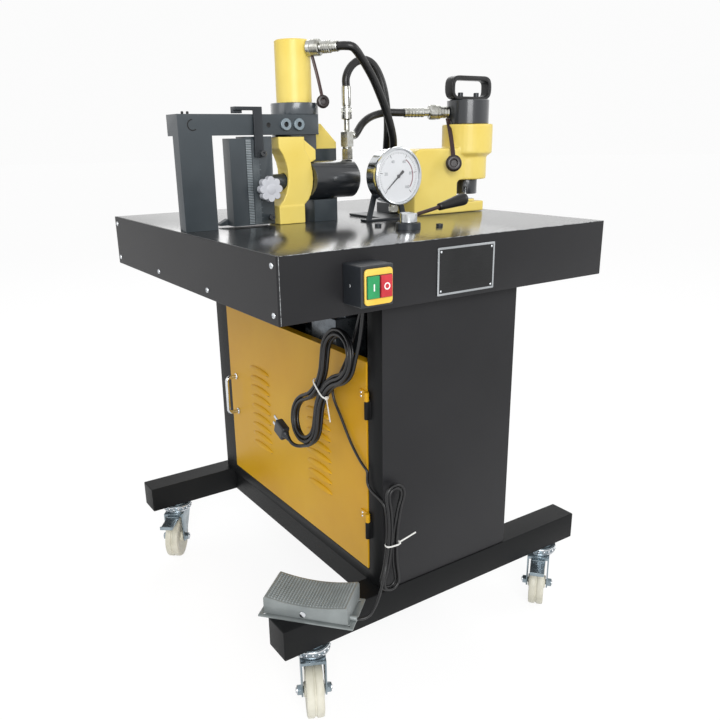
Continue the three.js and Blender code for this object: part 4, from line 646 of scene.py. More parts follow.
def cast(name, bm, node, voxel=1.7, rounds=5):
    """A casting: its joined forms as one skin, with soft corners."""
    mesh = bpy.data.meshes.new(f"{name}_raw")
    bm.to_mesh(mesh)
    bm.free()
    holder = placed_object(f"{name}_raw", mesh)
    skin = holder.modifiers.new("skin", "REMESH")
    skin.mode = "VOXEL"
    skin.voxel_size = voxel * MM
    shape = bpy.data.meshes.new_from_object(holder.evaluated_get(bpy.context.evaluated_depsgraph_get()))
    bpy.data.objects.remove(holder)
    skinned = bmesh.new()
    skinned.from_mesh(shape)
    bpy.data.meshes.remove(shape)
    for _ in range(rounds):
        bmesh.ops.smooth_vert(skinned, verts=skinned.verts, factor=0.5, use_axis_x=True, use_axis_y=True,
            use_axis_z=True)
    return piece(name, skinned, tool_yellow, "tool_yellow", node=node, angle=180)


PUNCH_X, PUNCH_Y = 307, -45
BARREL_LOW, HANDLE_FEET, PUNCH_TIP, DIE_TOP = 1036.6, 1092.6, 889.3, 876.4
cast("punch_casting", merged("punch_frame"), "punch_frame")
cylinder_black = surface("cylinder_black", "1a1d21", "24282d", 0.34, metal=0.3, relief=0.03, mottle=12,
    stretch=(1, 1, 0.05), cover=1)
turned("punch_barrel", [(0, 0), (45, 0), (46, 1), (46, 48.6), (44.6, 50), (0, 50)],
    at(PUNCH_X, PUNCH_Y, BARREL_LOW), "z", 96, cylinder_black, "tool_black", node="punch_cylinder",
    angle=30)
ram_steel = surface("ram_steel", "a3a8ac", "bfc3c6", 0.2, metal=1, spread=0.07, relief=0.03, mottle=25,
    stretch=(1, 1, 0.1))
turned("punch_ram_bar", [(0, 0), (6.4, 0), (7, 0.6), (7, 15.5), (8.6, 16), (16, 16), (17, 17), (17, 98),
    (0, 98)], at(PUNCH_X, PUNCH_Y, PUNCH_TIP), "z", 64, ram_steel, slot_of_node("punch_ram"),
    body="punch_ram", node="punch_ram", angle=30)
dress("punch_stripper", cylinder_black, 0.8)
turned("punch_die_ring", [(8.2, -10), (8.2, 0.2), (9.2, 1), (17, 1), (17.6, 0.4), (17.6, -1)],
    at(PUNCH_X, PUNCH_Y, DIE_TOP), "z", 56, ram_steel, "ram_steel", angle=30)
strap_black = surface("strap_black", "0c0c0d", "131315", 0.36, spread=0.08, grain=700, relief=0.1,
    mottle=16, shine=0.4)
dress("punch_handle", strap_black, 1.6, angle=28)
turned("punch_handle_bolts", [(0, 4), (2.3, 4), (2.5, 8.6), (5.2, 8.6), (5.8, 8), (5.8, 0)],
    [at(PUNCH_X + side * 22.8, PUNCH_Y, HANDLE_FEET) for side in (-1, 1)], "z", 32, tool_black,
    "tool_black", angle=30)

# Quick couplers: turned steel with a grey chrome finish. Each ends in a ferrule that is crimped
# over its hose. The bender's one is a stack of a nut, a body with a side port, a neck and a collar.
fitting_chrome = surface("fitting_chrome", "a3a29a", "cfd0cc", 0.22, metal=1, spread=0.09, grain=520,
    relief=0.06, mottle=70)


def polar(radius, degrees):
    return radius * cos(radians(degrees)), radius * sin(radians(degrees))


def hex_nut(shape, low, high, radius, place=Matrix()):
    """A six-sided nut between two heights."""
    prism(shape, [polar(radius, 60 * i) for i in range(6)], (low, high), place)


def knurl(shape, low, high, radius, ribs):
    """Fine ribs round a turned collar."""
    for i in range(ribs):
        rib = block(shape, mm(radius - 0.5, -0.34, low), mm(radius + 0.35, 0.34, high))
        bmesh.ops.rotate(shape, cent=(0, 0, 0), matrix=Matrix.Rotation(i / ribs * 2 * pi, 3, "Z"),
            verts=rib)


def ferrule(low, high, radius, crimps):
    """The profile of a hose ferrule: a sleeve with pressed rings and a turned-in mouth."""
    profile = [(radius - 0.7, low), (radius, low + 0.8)]
    span = (high - low) / (crimps + 1)
    for i in range(crimps):
        base = low + span * (i + 0.7)
        profile += [(radius, base), (radius - 0.8, base + 0.9), (radius - 0.8, base + span * 0.45),
            (radius, base + span * 0.45 + 0.9)]
    return profile + [(radius, high - 1.2), (radius - 0.8, high), (8, high), (8, high - 2)]


def fitting(name, node, shape, place):
    """A finished coupler, moved to its port."""
    moved(shape, place)
    return piece(name, shape, fitting_chrome, "chrome", node=node, angle=28)


shape = bmesh.new()
spun(shape, [(0, 0), (11.6, 0), (12.5, 0.8), (12.5, 5), (11.2, 5.7), (11.2, 7.3), (12.5, 8), (12.5, 12),
    (11.2, 12.7), (11.2, 14.3), (12.5, 15), (12.5, 18.2), (15, 20.4), (15, 25.6), (14.2, 26.4),
    (14.2, 27.6), (15, 28.4), (15, 42.6), (13.6, 44.4), (9.2, 45), (8, 46.4), (8, 55.6), (9, 56.4)]
    + ferrule(56.6, 101, 10, 5), HERE, "z", 72)
knurl(shape, 30, 41.4, 15, 40)
PUNCH_PORT_TURN, PUNCH_PORT_Z, PUNCH_PORT_OUT = radians(160), 1061.6, 46.2
punch_way = Vector((cos(PUNCH_PORT_TURN), sin(PUNCH_PORT_TURN), 0))
fitting("punch_fitting", "punch_coupler", shape, Matrix.Translation(at(PUNCH_X, PUNCH_Y, PUNCH_PORT_Z)
    + punch_way * PUNCH_PORT_OUT * MM) @ turn_to(punch_way))

CUTTER_X, CUTTER_Y, CUTTER_PORT_Z, CUTTER_PORT_OUT = -91, 23, 1176.6, 35.3
CUTTER_TURN = radians(-60)
cutter_way = Vector((cos(CUTTER_TURN), sin(CUTTER_TURN), 0))
shape = bmesh.new()
spun(shape, [(0, 0), (14, 0), (15, 1), (15, 8.6), (13.8, 9.4), (13.8, 10.8), (15, 11.6), (15, 25.6),
    (13.4, 27.3), (8.6, 27.8), (8, 28.6), (8, 30.6), (10.4, 31.2), (11.5, 32.2), (11.5, 34.4), (10.5, 35.2),
    (10.5, 36.2), (11.5, 37), (11.5, 39.2), (10.5, 40), (10.5, 41), (11.5, 41.8), (11.5, 44), (10.5, 44.8),
    (10.5, 45.8), (11.5, 46.6), (11.5, 48.4), (9.6, 49.4)] + ferrule(49.6, 65, 10, 2), HERE, "z", 72)
knurl(shape, 13, 24.4, 15, 40)
fitting("cutter_fitting", "cutter_coupler", shape, Matrix.Translation(at(CUTTER_X, CUTTER_Y, CUTTER_PORT_Z)
    + cutter_way * CUTTER_PORT_OUT * MM) @ turn_to(cutter_way))

STACK_X, STACK_Y, STACK_LOW = 16, -2.25, 969.1
TEE_TURN, TEE_RISE, TEE_HEIGHT = radians(25), radians(8), 44
tee_way = Vector((cos(TEE_RISE) * cos(TEE_TURN), cos(TEE_RISE) * sin(TEE_TURN), sin(TEE_RISE)))
shape = bmesh.new()
hex_nut(shape, 0, 21, 12.2)
spun(shape, [(9, 20.6), (9.5, 21.6), (9.5, 26)], HERE, "z", 48)
hex_nut(shape, 25.6, 54, 14.6)
spun(shape, [(12.6, 53.6), (12, 54.8), (7.4, 55.8), (5.6, 57.4), (5.6, 77), (7, 78.4), (9.9, 79),
    (10.7, 80), (10.7, 88), (9.9, 88.8), (9.9, 90.2), (10.7, 91), (10.7, 100.4), (9.8, 101.4), (8.3, 102),
    (8.3, 104.6), (8.8, 105.2), (9.4, 106), (9.4, 140.6), (8.8, 142), (8, 142), (8, 140)], HERE, "z", 64)
knurl(shape, 92.4, 99.4, 10.7, 30)
spun(shape, [(0, 0), (8.5, 0), (8.5, 15.6), (7.7, 16.3), (8.5, 17), (8.5, 23.6), (7.6, 24.5), (6.6, 24.5)],
    mm(0, 0, TEE_HEIGHT), tee_way, 48)
fitting("bender_fitting", "bend_coupler", shape, Matrix.Translation(at(STACK_X, STACK_Y, STACK_LOW)))

# Bender: a slate-black steel portal with a tie bar, a yellow cast C frame on the bench, and a black
# steel cylinder lying in the frame.
slate = surface("slate", "30373c", "3c4449", 0.36, metal=0.1, grain=600, relief=0.07, mottle=6, cover=0.15)
dress("portal", slate, 1)
FRAME_FOOT = (at(-159.8, -25.8, TOP_Z + 0.5), at(-102.2, 21, TOP_Z + 35))
bm = merged("bend_frame")
block(bm, *FRAME_FOOT)
cast("bend_casting", bm, "bend_frame", 1.2, 3)
dress("bend_cylinder", cylinder_black, 0.8, angle=25)

# Cutter: a slate-black steel head with a yellow turned cylinder on top, a ground steel blade in it,
# and a steel block on the bench that carries the lower blade and a yellow wedge.
CUTTER_BARREL_LOW, WEDGE_LOW = 1078.6, 991.3 * MM
head_slate = surface("head_slate", "343b41", "40484e", 0.34, metal=0.2, grain=600, mottle=6, cover=1)
dress("cutter_head", head_slate, 0.8, angle=25)
turned("cutter_barrel", [(0, 0), (34.4, 0), (35, 0.6), (35, 112), (33, 114), (12, 114), (11, 113),
    (0, 113)], at(CUTTER_X, CUTTER_Y, CUTTER_BARREL_LOW), "z", 96, tool_yellow, "tool_yellow",
    node="cutter_cylinder", angle=30)
dress("cutter_blade", ram_steel, 0.7)
bm = solid_of("cutter_block")
bmesh.ops.bisect_plane(bm, geom=bm.verts[:] + bm.edges[:] + bm.faces[:], plane_co=(0, 0, WEDGE_LOW),
    plane_no=(0, 0, 1))
for face in bm.faces:
    if face.calc_center_median().z > WEDGE_LOW + 0.2 * MM:
        face.material_index = 1
piece("cutter_saddle", bm, (slate, tool_yellow), "tool_black", node="cutter_block", soft=1)

# Sliding former: a slate-black steel channel with its die, a comb and a scale, held down by a strap
# and clamped by a screw with two star knobs. The bar above it has socket screws and a ring mark.
dress("guide_channel", slate, 0.8)
dress("bend_die", slate, 0.7)
dress("hold_strap", tool_black, 1)
STATION_FRONT = -24
set_screws = bmesh.new()
BAR_MIDDLE, BAR_TOP = 1037.8, 1056
SOCKETS = ((-110, BAR_MIDDLE), (-139, BAR_MIDDLE))
for x, z in SOCKETS:
    spun(set_screws, [(4.6, 0.2), (4.8, 5.6), (5.2, 6), (10.2, 6), (11.4, 5), (11.4, 0)],
        at(x, STATION_FRONT + 0.6, z), FRONT, 40)
piece("bar_screws", set_screws, zinc, "zinc", angle=30)


def arc_band(outer, inner, start, stop):
    """The outline of an arc with some width, in 24 steps."""
    turns = [start + (stop - start) * i / 24 for i in range(25)]
    return [polar(outer, turn) for turn in turns] + [polar(inner, turn) for turn in reversed(turns)]


# Black discs on the bar's hole and at the bottom of the screws' sockets are painted shade for their depth;
# the arc is a ring mark on the bar.
hole_shades_and_mark = bmesh.new()
spun(hole_shades_and_mark, [(0, 0.2), (3.2, 0.2), (4, 0.5), (4.6, 0)], at(-174.9, STATION_FRONT, 1037), FRONT, 32)
for x, z in SOCKETS:
    spun(hole_shades_and_mark, [(0, 1.4), (4.5, 1.4), (4.5, 0)], at(x, STATION_FRONT, z), FRONT, 24)
prism(hole_shades_and_mark, arc_band(10.2, 8.2, 88, 310), (0, 0.25), facing_front(-327, STATION_FRONT, 1037.6))
piece("bar_hole_shades_and_ring_mark", hole_shades_and_mark, strap_black, "tool_black", angle=30)
turned("bar_top_screws", [(0, 5.4), (1.6, 5.4), (2.4, 4.6), (2.4, 0)],
    [at(x, -2, BAR_TOP) for x in (-336, -326)], "z", 20, strap_black, "tool_black", angle=30)
teeth = bmesh.new()
TOOTH_PITCH = 3
for i in range(52):
    z = 856.5 + i * TOOTH_PITCH
    block(teeth, at(-225, -24.5, z), at(-214.2, -23.5, z + 1.6))
comb_grey = surface("comb_grey", "8b9498", "a6aeb2", 0.36, metal=0.6, spread=0.08, mottle=60)
piece("former_comb", teeth, comb_grey, "ram_steel", body="bend_slide", angle=20)
marks = bmesh.new()
for i in range(78):
    z = 856 + i * 2
    long = 17 if i % 5 == 0 else 13.5
    block(marks, at(-212, -23.3, z), at(-212 + long, -22.2, z + 0.9))
scale_grey = surface("scale_grey", "596166", "747c80", 0.45, relief=0.03, mottle=40)
piece("former_scale", marks, scale_grey, "plate_alu", body="bend_slide", angle=20)
turned("former_bolts", [(0, 2.4), (2.4, 2.4), (2.6, 6.4), (5.2, 6.4), (5.9, 5.8), (5.9, 0)],
    [at(-194, -30.4, 986), at(-178, -23.6, 866)], FRONT, 32, cylinder_black, "tool_black",
    body="bend_slide", angle=30)
knob_grey = surface("knob_grey", "bfc1c8", "cfd1d7", 0.42, spread=0.07, grain=600, relief=0.06, mottle=20)
KNOB_X, KNOB_Z = -190, 921.3
KNOB_FRONT, KNOB_REAR = -38, 88


def star_knob(bm, y, way):
    """A star knob of eight lobes with a round hub, a thick disc with soft rims."""
    rim = []
    for i in range(96):
        angle = i / 96 * 2 * pi
        r = 18.4 + 5.6 * abs(cos(4 * angle)) ** 0.7
        rim.append((r * cos(angle), r * sin(angle)))
    place = Matrix.Translation(at(KNOB_X, y, KNOB_Z)) @ turn_to(way)
    prism(bm, rim, (0, 15), place)
    spun(bm, [(0, 16), (8.5, 16), (10.5, 14.8)], at(KNOB_X, y, KNOB_Z), way, 40)


knob = bmesh.new()
star_knob(knob, KNOB_FRONT, FRONT)
star_knob(knob, KNOB_REAR, "y")
spun(knob, [(5, 0), (5, KNOB_REAR - KNOB_FRONT)], at(KNOB_X, KNOB_FRONT, KNOB_Z), "y", 32)
piece("clamp_star_screw", knob, knob_grey, "knob_grey", body="clamp_screw", node="clamp_screw", soft=1.4,
    angle=40)

# Dust caps: rubber cups that hang on flat moulded straps from the couplers of the punch and the
# cutter, which plug the couplers while no hose is on them.
lever_brown = surface("lever_brown", "2e1c1b", "3f2725", 0.34, metal=0.2, grain=600, mottle=20)
cap_brown = surface("cap_brown", "150d0d", "221615", 0.34, grain=600, relief=0.06, mottle=20)


def ribbon(bm, spots, side, half_wide, half_thick):
    """A flat band with round sides along a line of points, its width laid along one direction."""
    rings = []
    for i, spot in enumerate(spots):
        way = (spots[min(i + 1, len(spots) - 1)] - spots[max(i - 1, 0)]).normalized()
        across = (side - way * side.dot(way)).normalized()
        turn = Matrix((across, way.cross(across), way)).transposed().to_4x4()
        ring = bmesh.ops.create_circle(bm, cap_ends=i in (0, len(spots) - 1), segments=16,
            radius=MM)["verts"]
        bmesh.ops.scale(bm, vec=(half_wide, half_thick, 1), verts=ring)
        bmesh.ops.transform(bm, matrix=Matrix.Translation(spot) @ turn, verts=ring)
        rings.append(set(ring))
    for a, b in zip(rings, rings[1:]):
        loops = [e for e in bm.edges if set(e.verts) <= a or set(e.verts) <= b]
        bmesh.ops.bridge_loops(bm, edges=loops)
    bmesh.ops.recalc_face_normals(bm, faces=bm.faces)


def dust_cap(name, start, cap, way, radius, wide, bulge):
    """A cup with a rim and a stub, and the flat strap that it hangs on."""
    cup = bmesh.new()
    spun(cup, [(0, 1.5), (radius * 0.42, 1.5), (radius * 0.46, 5), (radius * 0.62, 6), (radius * 0.9, 5.4),
        (radius, 4.2), (radius, 0.6), (radius + 1.2, 0), (radius + 1.2, -3), (radius, -3.6), (radius, -6),
        (radius - 1.2, -7), (0, -7)], cap, way, 48)
    piece(f"{name}_cap", cup, cap_brown, "rubber_black", angle=30)
    band = bmesh.new()
    spots = [start.lerp(cap, i / 16) + way * bulge * MM * sin(pi * (i / 16)) for i in range(17)]
    ribbon(band, spots, way.cross(cap - start).normalized(), wide / 2, 1.1)
    piece(f"{name}_strap", band, lever_brown, "rubber_black", angle=60)


dust_cap("punch_dust", at(259, -34, 1048), at(224, -98, 957), Vector((-0.45, -0.85, 0.1)).normalized(), 16,
    9.5, 7)
dust_cap("cutter_dust", at(-70, -15, 1164), at(-54, -26, 1080), Vector((-0.3, -0.9, 0.1)).normalized(),
    11.4, 6.5, 4)

# Gauge: a steel can with a rolled bezel, a white dial with a scale from 0 to 100 and a coloured
# arc, and a black needle. It stands on a steel bracket over its stem and the hose block.
GAUGE_X, GAUGE_FRONT, GAUGE_Z = 48, -140, 938.3
turned("gauge_can", [(0, 5.2), (50.4, 5.2), (50.4, 1.6), (51.2, 0.4), (53.2, 0), (55, 0.8), (56, 2.6),
    (56, 11), (55.2, 12), (52.6, 12.2), (52, 13), (52, 40.6), (50.6, 42), (0, 42)],
    at(GAUGE_X, GAUGE_FRONT, GAUGE_Z), "y", 128, chrome, "chrome", node="gauge_case", angle=30)
dial_white = surface("dial_white", "dfe1e4", "e9ebee", 0.5, spread=0.04, grain=400, relief=0.01, mottle=10)
turned("gauge_dial", [(0, 0.5), (49.9, 0.5), (50, 0)], at(GAUGE_X, GAUGE_FRONT + 5.1, GAUGE_Z), FRONT, 96,
    dial_white, "plate_alu", angle=30)
number_grey = surface("dial_grey", "6f7379", "7d8187", 0.5, spread=0.04, grain=400, relief=0.01)
ink = surface("dial_ink", "1b1c20", "26272c", 0.5, spread=0.04, grain=400, relief=0.01)
ticks = bmesh.new()
DIAL_SWEEP, DIAL_START, NUMBER_RADIUS = 270, 225, 30.5
dial_face = facing_front(GAUGE_X, GAUGE_FRONT + 4.55, GAUGE_Z)
for i in range(51):
    turn = radians(DIAL_START - DIAL_SWEEP * i / 50)
    inner = 38.5 if i % 10 == 0 else (41.5 if i % 5 == 0 else 42.6)
    half = 0.55 if i % 10 == 0 else 0.28
    tick = block(ticks, mm(inner, -half, 0), mm(45.5, half, 0.18))
    bmesh.ops.rotate(ticks, cent=(0, 0, 0), matrix=Matrix.Rotation(turn, 3, "Z"), verts=tick)
moved(ticks, dial_face)
piece("gauge_ticks", ticks, ink, "needle_black", angle=20)
numbers = bmesh.new()
for i in range(6):
    text = bpy.data.curves.new("dial_number", "FONT")
    text.body = str(20 * i)
    text.size = 8.2 * MM
    text.extrude = 0.09 * MM
    text.align_x, text.align_y = "CENTER", "CENTER"
    digits = mesh_of_line(text)
    turn = radians(DIAL_START - DIAL_SWEEP * i / 5)
    place = facing_front(GAUGE_X + NUMBER_RADIUS * cos(turn), GAUGE_FRONT + 4.5,
        GAUGE_Z + NUMBER_RADIUS * sin(turn))
    moved(digits, place)
    pour(digits, numbers)
piece("gauge_numbers", numbers, number_grey, "needle_black", angle=20)
arc = bmesh.new()
prism(arc, arc_band(36.6, 34.6, 60, -36), (0, 0.16), dial_face)
arc_red = surface("arc_red", "7a3a4c", "8c4558", 0.5, spread=0.04, grain=400, relief=0.01)
piece("gauge_arc", arc, arc_red, "button_red", angle=20)
needle = bmesh.new()
NEEDLE_TURN = radians(221)
prism(needle, [(-15, -2.4), (-13, -3), (0, -1.6), (38, -0.5), (40, 0), (38, 0.5), (0, 1.6), (-13, 3),
    (-15, 2.4)], (2, 2.9), facing_front(GAUGE_X, GAUGE_FRONT + 5, GAUGE_Z)
    @ Matrix.Rotation(NEEDLE_TURN, 4, "Z"))
spun(needle, [(0, 3.6), (2.6, 3.6), (3.4, 3), (3.6, 2), (3.6, 0.7)], at(GAUGE_X, GAUGE_FRONT + 5, GAUGE_Z),
    FRONT, 40)
piece("gauge_pointer", needle, ink, "needle_black", body="gauge_needle", node="gauge_needle", soft=0.2)
glass_clear = bpy.data.materials.new("gauge_glass")
glass_clear.use_nodes = True
glass_shader = glass_clear.node_tree.nodes["Principled BSDF"]
glass_shader.inputs["Base Color"].default_value = (0.96, 0.98, 1, 1)
glass_shader.inputs["Roughness"].default_value = 0.04
glass_shader.inputs["Alpha"].default_value = 0.1
turned("gauge_pane", [(0, 1.1), (30, 0.9), (49.9, 0.2), (49.9, -0.6)],
    at(GAUGE_X, GAUGE_FRONT + 1.5, GAUGE_Z), FRONT, 72, glass_clear, "chrome", angle=60)
stem = bmesh.new()
stem_low = at(GAUGE_X, GAUGE_FRONT + 21, 868.4)
spun(stem, [(0, 0), (7.4, 0), (8, 0.6), (8, 20)], stem_low, "z", 40)
hex_nut(stem, 3, 11, 10.5, Matrix.Translation(stem_low))
piece("gauge_stem", stem, fitting_chrome, "chrome", angle=30)
dress("gauge_bracket", tool_black, 0.7)

# Selector valve: a turned black ring on the bench and a turned chrome hub, with a brown steel rod that
# leans out of the hub and ends in a black moulded grip.
VALVE = (-12, -245)
RING_LOW, HUB_LOW, ROD_MIDDLE = TOP_Z + 0.3, TOP_Z + 12.6, TOP_Z + 21.6
turned("valve_ring", [(0, 0), (23, 0), (23, 10.6), (21.8, 11.8), (3.2, 11.8), (3.2, 21.4), (0, 21.4)],
    at(*VALVE, RING_LOW), "z", 72, tool_black, "tool_black", node="valve_body", angle=30)
turned("valve_hub", [(0, 12.4), (4.4, 12.4), (4.4, 0.1), (15.8, 0.1), (16.5, 0.8), (16.5, 15.4), (15.2, 17),
    (4, 17), (3.6, 16.4), (0, 16.4)], at(*VALVE, HUB_LOW), "z", 72, chrome, "chrome", body="valve_lever",
    node="valve_lever", angle=30)
TILT = radians(10.7)
lever_way = Vector((cos(TILT), 0, sin(TILT)))
lever_base = at(*VALVE, ROD_MIDDLE) + lever_way * 9.5 * MM
turned("valve_rod", [(0, 0), (3.5, 0), (3.5, 66)], lever_base, lever_way, 32, lever_brown, "chrome",
    body="valve_lever", angle=40)
grip_black = surface("grip_black", "0b0b0c", "121213", 0.3, grain=700, mottle=20, shine=0.4)
turned("valve_grip", [(0, 64), (5.8, 64), (6.8, 65), (7.4, 74), (9.4, 96), (11.2, 114), (11.9, 123),
    (11.6, 127.4), (9.9, 130.4), (5.6, 131.8), (0, 132.2)], lever_base, lever_way, 56, grip_black,
    "rubber_black", body="valve_lever", angle=50)

# Pump unit in the cabinet: a welded oil tank, a finned motor can, and a valve block with two
# solenoids. Only its top shows, past the open upper part of the cabinet.
dress("oil_tank", panel_black, 2)
pump_grey = surface("pump_grey", "4e555b", "787f86", 0.34, metal=0.7, spread=0.1, grain=420, relief=0.08)
dress("pump_unit", pump_grey, 1, angle=28)

# Hydraulic hoses: smooth black rubber tubes of 16 mm, crimped into their couplers. The ones of the
# cutter and the bender run down to the hose block, and the short one joins the punch to the bender.
hose_black = surface("hose_black", "0b0b0c", "121213", 0.34, spread=0.08, relief=0.08, mottle=24)


def even_points(fine, count):
    """Points at even distances along a line of many short steps."""
    reach = [0]
    for a, b in zip(fine, fine[1:]):
        reach.append(reach[-1] + (b - a).length)
    out, k = [], 0
    for i in range(count):
        goal = reach[-1] * i / (count - 1)
        while k + 2 < len(reach) and reach[k + 1] < goal:
            k += 1
        share = (goal - reach[k]) / (reach[k + 1] - reach[k])
        out.append(fine[k].lerp(fine[k + 1], min(max(share, 0), 1)))
    return out


def smooth_run(dots, count):
    """Even points along the smooth line through a list of points."""
    pts = [Vector(p) for p in dots]
    pts = [2 * pts[0] - pts[1]] + pts + [2 * pts[-1] - pts[-2]]
    fine = []
    for a, b, c, d in zip(pts, pts[1:], pts[2:], pts[3:]):
        gaps = [max((q - p).length, 1e-9) ** 0.5 for p, q in ((a, b), (b, c), (c, d))]
        m1 = (b - a) / gaps[0] - (c - a) / (gaps[0] + gaps[1]) + (c - b) / gaps[1]
        m2 = (c - b) / gaps[1] - (d - b) / (gaps[1] + gaps[2]) + (d - c) / gaps[2]
        m1, m2 = m1 * gaps[1], m2 * gaps[1]
        for i in range(24):
            t = i / 24
            fine.append(b * (2 * t**3 - 3 * t**2 + 1) + m1 * (t**3 - 2 * t**2 + t)
                + c * (3 * t**2 - 2 * t**3) + m2 * (t**3 - t**2))
    fine.append(pts[-2])
    return even_points(fine, count)


def cord_line(name, dots, radius, paint, body, node, sides, smooth):
    """One cord on a smooth line through its points, in metres."""
    line = bpy.data.curves.new(name, "CURVE")
    line.dimensions = "3D"
    line.bevel_depth = radius * MM
    line.bevel_resolution = sides // 2 - 1
    line.resolution_u = smooth
    line.use_fill_caps = True
    run = line.splines.new("BEZIER")
    run.bezier_points.add(len(dots) - 1)
    for dot, spot in zip(run.bezier_points, dots):
        dot.co = spot
        dot.handle_left_type = dot.handle_right_type = "AUTO"
    obj = placed_object(name, line)
    line.materials.append(paint)
    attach(obj, body)
    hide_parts(node)
    return obj


def placed(dots):
    return [at(*d) for d in dots]


HOSE_RADIUS, BLOCK_X, BLOCK_TOP = 8, 147, 874.6
CUTTER_PORT = Vector((CUTTER_X, CUTTER_Y, CUTTER_PORT_Z))
TEE_PORT = Vector((STACK_X, STACK_Y, STACK_LOW + TEE_HEIGHT))
PUNCH_PORT = Vector((PUNCH_X, PUNCH_Y, PUNCH_PORT_Z))
HOSES = {
    "cutter_hose": ([CUTTER_PORT + cutter_way * 100.6, CUTTER_PORT + cutter_way * 108.6, (-22, -84, 1174),
        (-2, -80, 1159), (20, -72, 1140), (40, -65, 1119), (61, -57, 1092), (81, -49, 1064), (99, -42, 1031),
        (112, -33, 1001), (125, -8, 950), (BLOCK_X, 1, BLOCK_TOP + 20), (BLOCK_X, 1, BLOCK_TOP)], 30),
    "bend_hose": ([(STACK_X, STACK_Y, 1111.4), (STACK_X, STACK_Y, 1125.4), (23, -2, 1141), (36, -2, 1154),
        (53, -3, 1161), (71, -5, 1159), (84, -8, 1148), (95, -11, 1128), (102, -14, 1104), (107, -15, 1075),
        (110, -15, 1046), (113, -10, 1015), (121, 4, 982), (134, 20, 940), (BLOCK_X, 27, BLOCK_TOP + 20),
        (BLOCK_X, 27, BLOCK_TOP)], 34),
    "punch_hose": ([TEE_PORT + tee_way * 24.8, TEE_PORT + tee_way * 32.8, (71, 21, 1040), (90, 25, 1051),
        (111, 26, 1058), (132, 20, 1062), PUNCH_PORT + punch_way * 155.6, PUNCH_PORT + punch_way * 147.6],
        20),
}
for hose, (dots, count) in HOSES.items():
    spots = smooth_run(placed(dots), count)
    obj = cord_line(f"{hose}_line", spots, HOSE_RADIUS, hose_black, "machine", hose, 16, 6)

# Junction box under the table: moulded black, with a tapered boot for each of its two leads beside
# the door's hinge axis.
NOSE_LOW = 778.7
MAINS_RADIUS, FOOT_RADIUS = 3.5, 2.6
MAINS_EXIT, FOOT_EXIT = (-166.5, -322.5), (-161.7, -317.3)
boxed("junction_box", at(-195.3, -350, 800.7), at(-157.3, -295, 845.7), moulded_black, "rubber_black",
    node="cable_gland", soft=2.2)
boots = bmesh.new()
for (x, y), cord_radius in ((MAINS_EXIT, MAINS_RADIUS), (FOOT_EXIT, FOOT_RADIUS)):
    spun(boots, [(0, 23), (cord_radius + 2.6, 23), (cord_radius + 2.4, 19), (cord_radius + 1.9, 18.4),
        (cord_radius + 2.1, 15), (cord_radius + 1.5, 14.4), (cord_radius + 1.7, 10),
        (cord_radius + 1.1, 9.4), (cord_radius + 1.2, 5), (cord_radius + 0.5, 0.6), (cord_radius, 0.2)],
        at(x, y, NOSE_LOW - 0.2), "z", 36)
piece("junction_boots", boots, moulded_black, "rubber_black", angle=40)

# Mains lead: a black flexible lead wound in a hank and bound at its waist, with a moulded plug. A hank
# is worked out from its two lobes: its loops step inwards on one layer and out again on the next.
HANK_STEPS = 24


def hank_outline(lobe, waist, reach):
    """The length of a hank's outermost run, and the spot and outward way at a distance along it."""
    neck = (reach * reach + waist * waist - lobe * lobe) / (2 * (lobe - waist))
    meet = math.atan2(reach, neck + waist)
    lobe_arc = lobe * (pi / 2 + meet)
    quarter = lobe_arc + neck * meet

    def spot(distance):
        index = math.floor(distance / quarter)
        along = distance - index * quarter
        run = along if index % 2 == 0 else quarter - along
        side = 1 if index % 4 < 2 else -1
        end = 1 if index % 4 in (0, 3) else -1
        if run <= lobe_arc:
            turn = run / lobe
            return (side * lobe * sin(turn), end * (reach + lobe * cos(turn)), side * sin(turn),
                end * cos(turn))
        turn = meet - (run - lobe_arc) / neck
        return (side * (neck + waist - neck * cos(turn)), end * neck * sin(turn), side * cos(turn),
            -end * sin(turn))

    return 4 * quarter, spot


def hank_line(top, bottom, side, out, lobe, waist, step, turns, start_share):
    """The wound lead between its two lobes, with its loops inwards on one layer and out on the next."""
    middle = (top + bottom) / 2
    reach = (top - bottom).length / 2
    along = (top - bottom).normalized()
    across = (side - along * side.dot(along)).normalized()
    rise = (out - along * out.dot(along)).normalized()
    length, spot = hank_outline(lobe, waist, reach)
    loops = turns / HANK_STEPS
    dots = []
    for i in range(turns + 1):
        turn = i / turns * loops
        inset = step * min(turn, loops - turn)
        share = min(max((turn - loops / 2 + 0.25) / 0.5, 0), 1)
        climb = share * share * (3 - 2 * share) - 0.5
        u, v, nu, nv = spot((turn + start_share) * length)
        dots.append(middle + across * (u - inset * nu) + along * (v - inset * nv) + rise * step * climb)
    return dots


def lead_line(start, start_way, stop, stop_way, pull):
    """Seven even points on a smooth lead, without its last one."""
    a, b = start + start_way * pull, stop - stop_way * pull
    fine = [start * (1 - t) ** 3 + a * 3 * t * (1 - t) ** 2 + b * 3 * t * t * (1 - t) + stop * t**3
        for t in [i / 200 for i in range(201)]]
    return even_points(fine, 8)[:-1]


DOWN = Vector((0, 0, -1))
LEAD_TOP = 778.4
MAINS_TOP, MAINS_BOTTOM = Vector((-183, -260, 640)), Vector((-205, -177, 498))
PLUG_TILT = radians(21.7)
mains_hank = hank_line(MAINS_TOP, MAINS_BOTTOM, Vector(FRONT), Vector(LEFT), 52, 20.5, 8.6, 105, 0.075)
mains_start = Vector((*MAINS_EXIT, LEAD_TOP))
plug_spot = Vector((-229, -150, 452))
plug_way = Vector((0, cos(PLUG_TILT), sin(PLUG_TILT)))
plug_back = plug_spot - plug_way * 2 * MAINS_RADIUS
mains_dots = ([mains_start] + lead_line(mains_start + DOWN * 2 * MAINS_RADIUS, DOWN, mains_hank[0],
    (mains_hank[1] - mains_hank[0]).normalized(), 45) + mains_hank
    + lead_line(mains_hank[-1], (mains_hank[-1] - mains_hank[-2]).normalized(), plug_back, plug_way,
    14)[1:] + [plug_back, plug_spot])
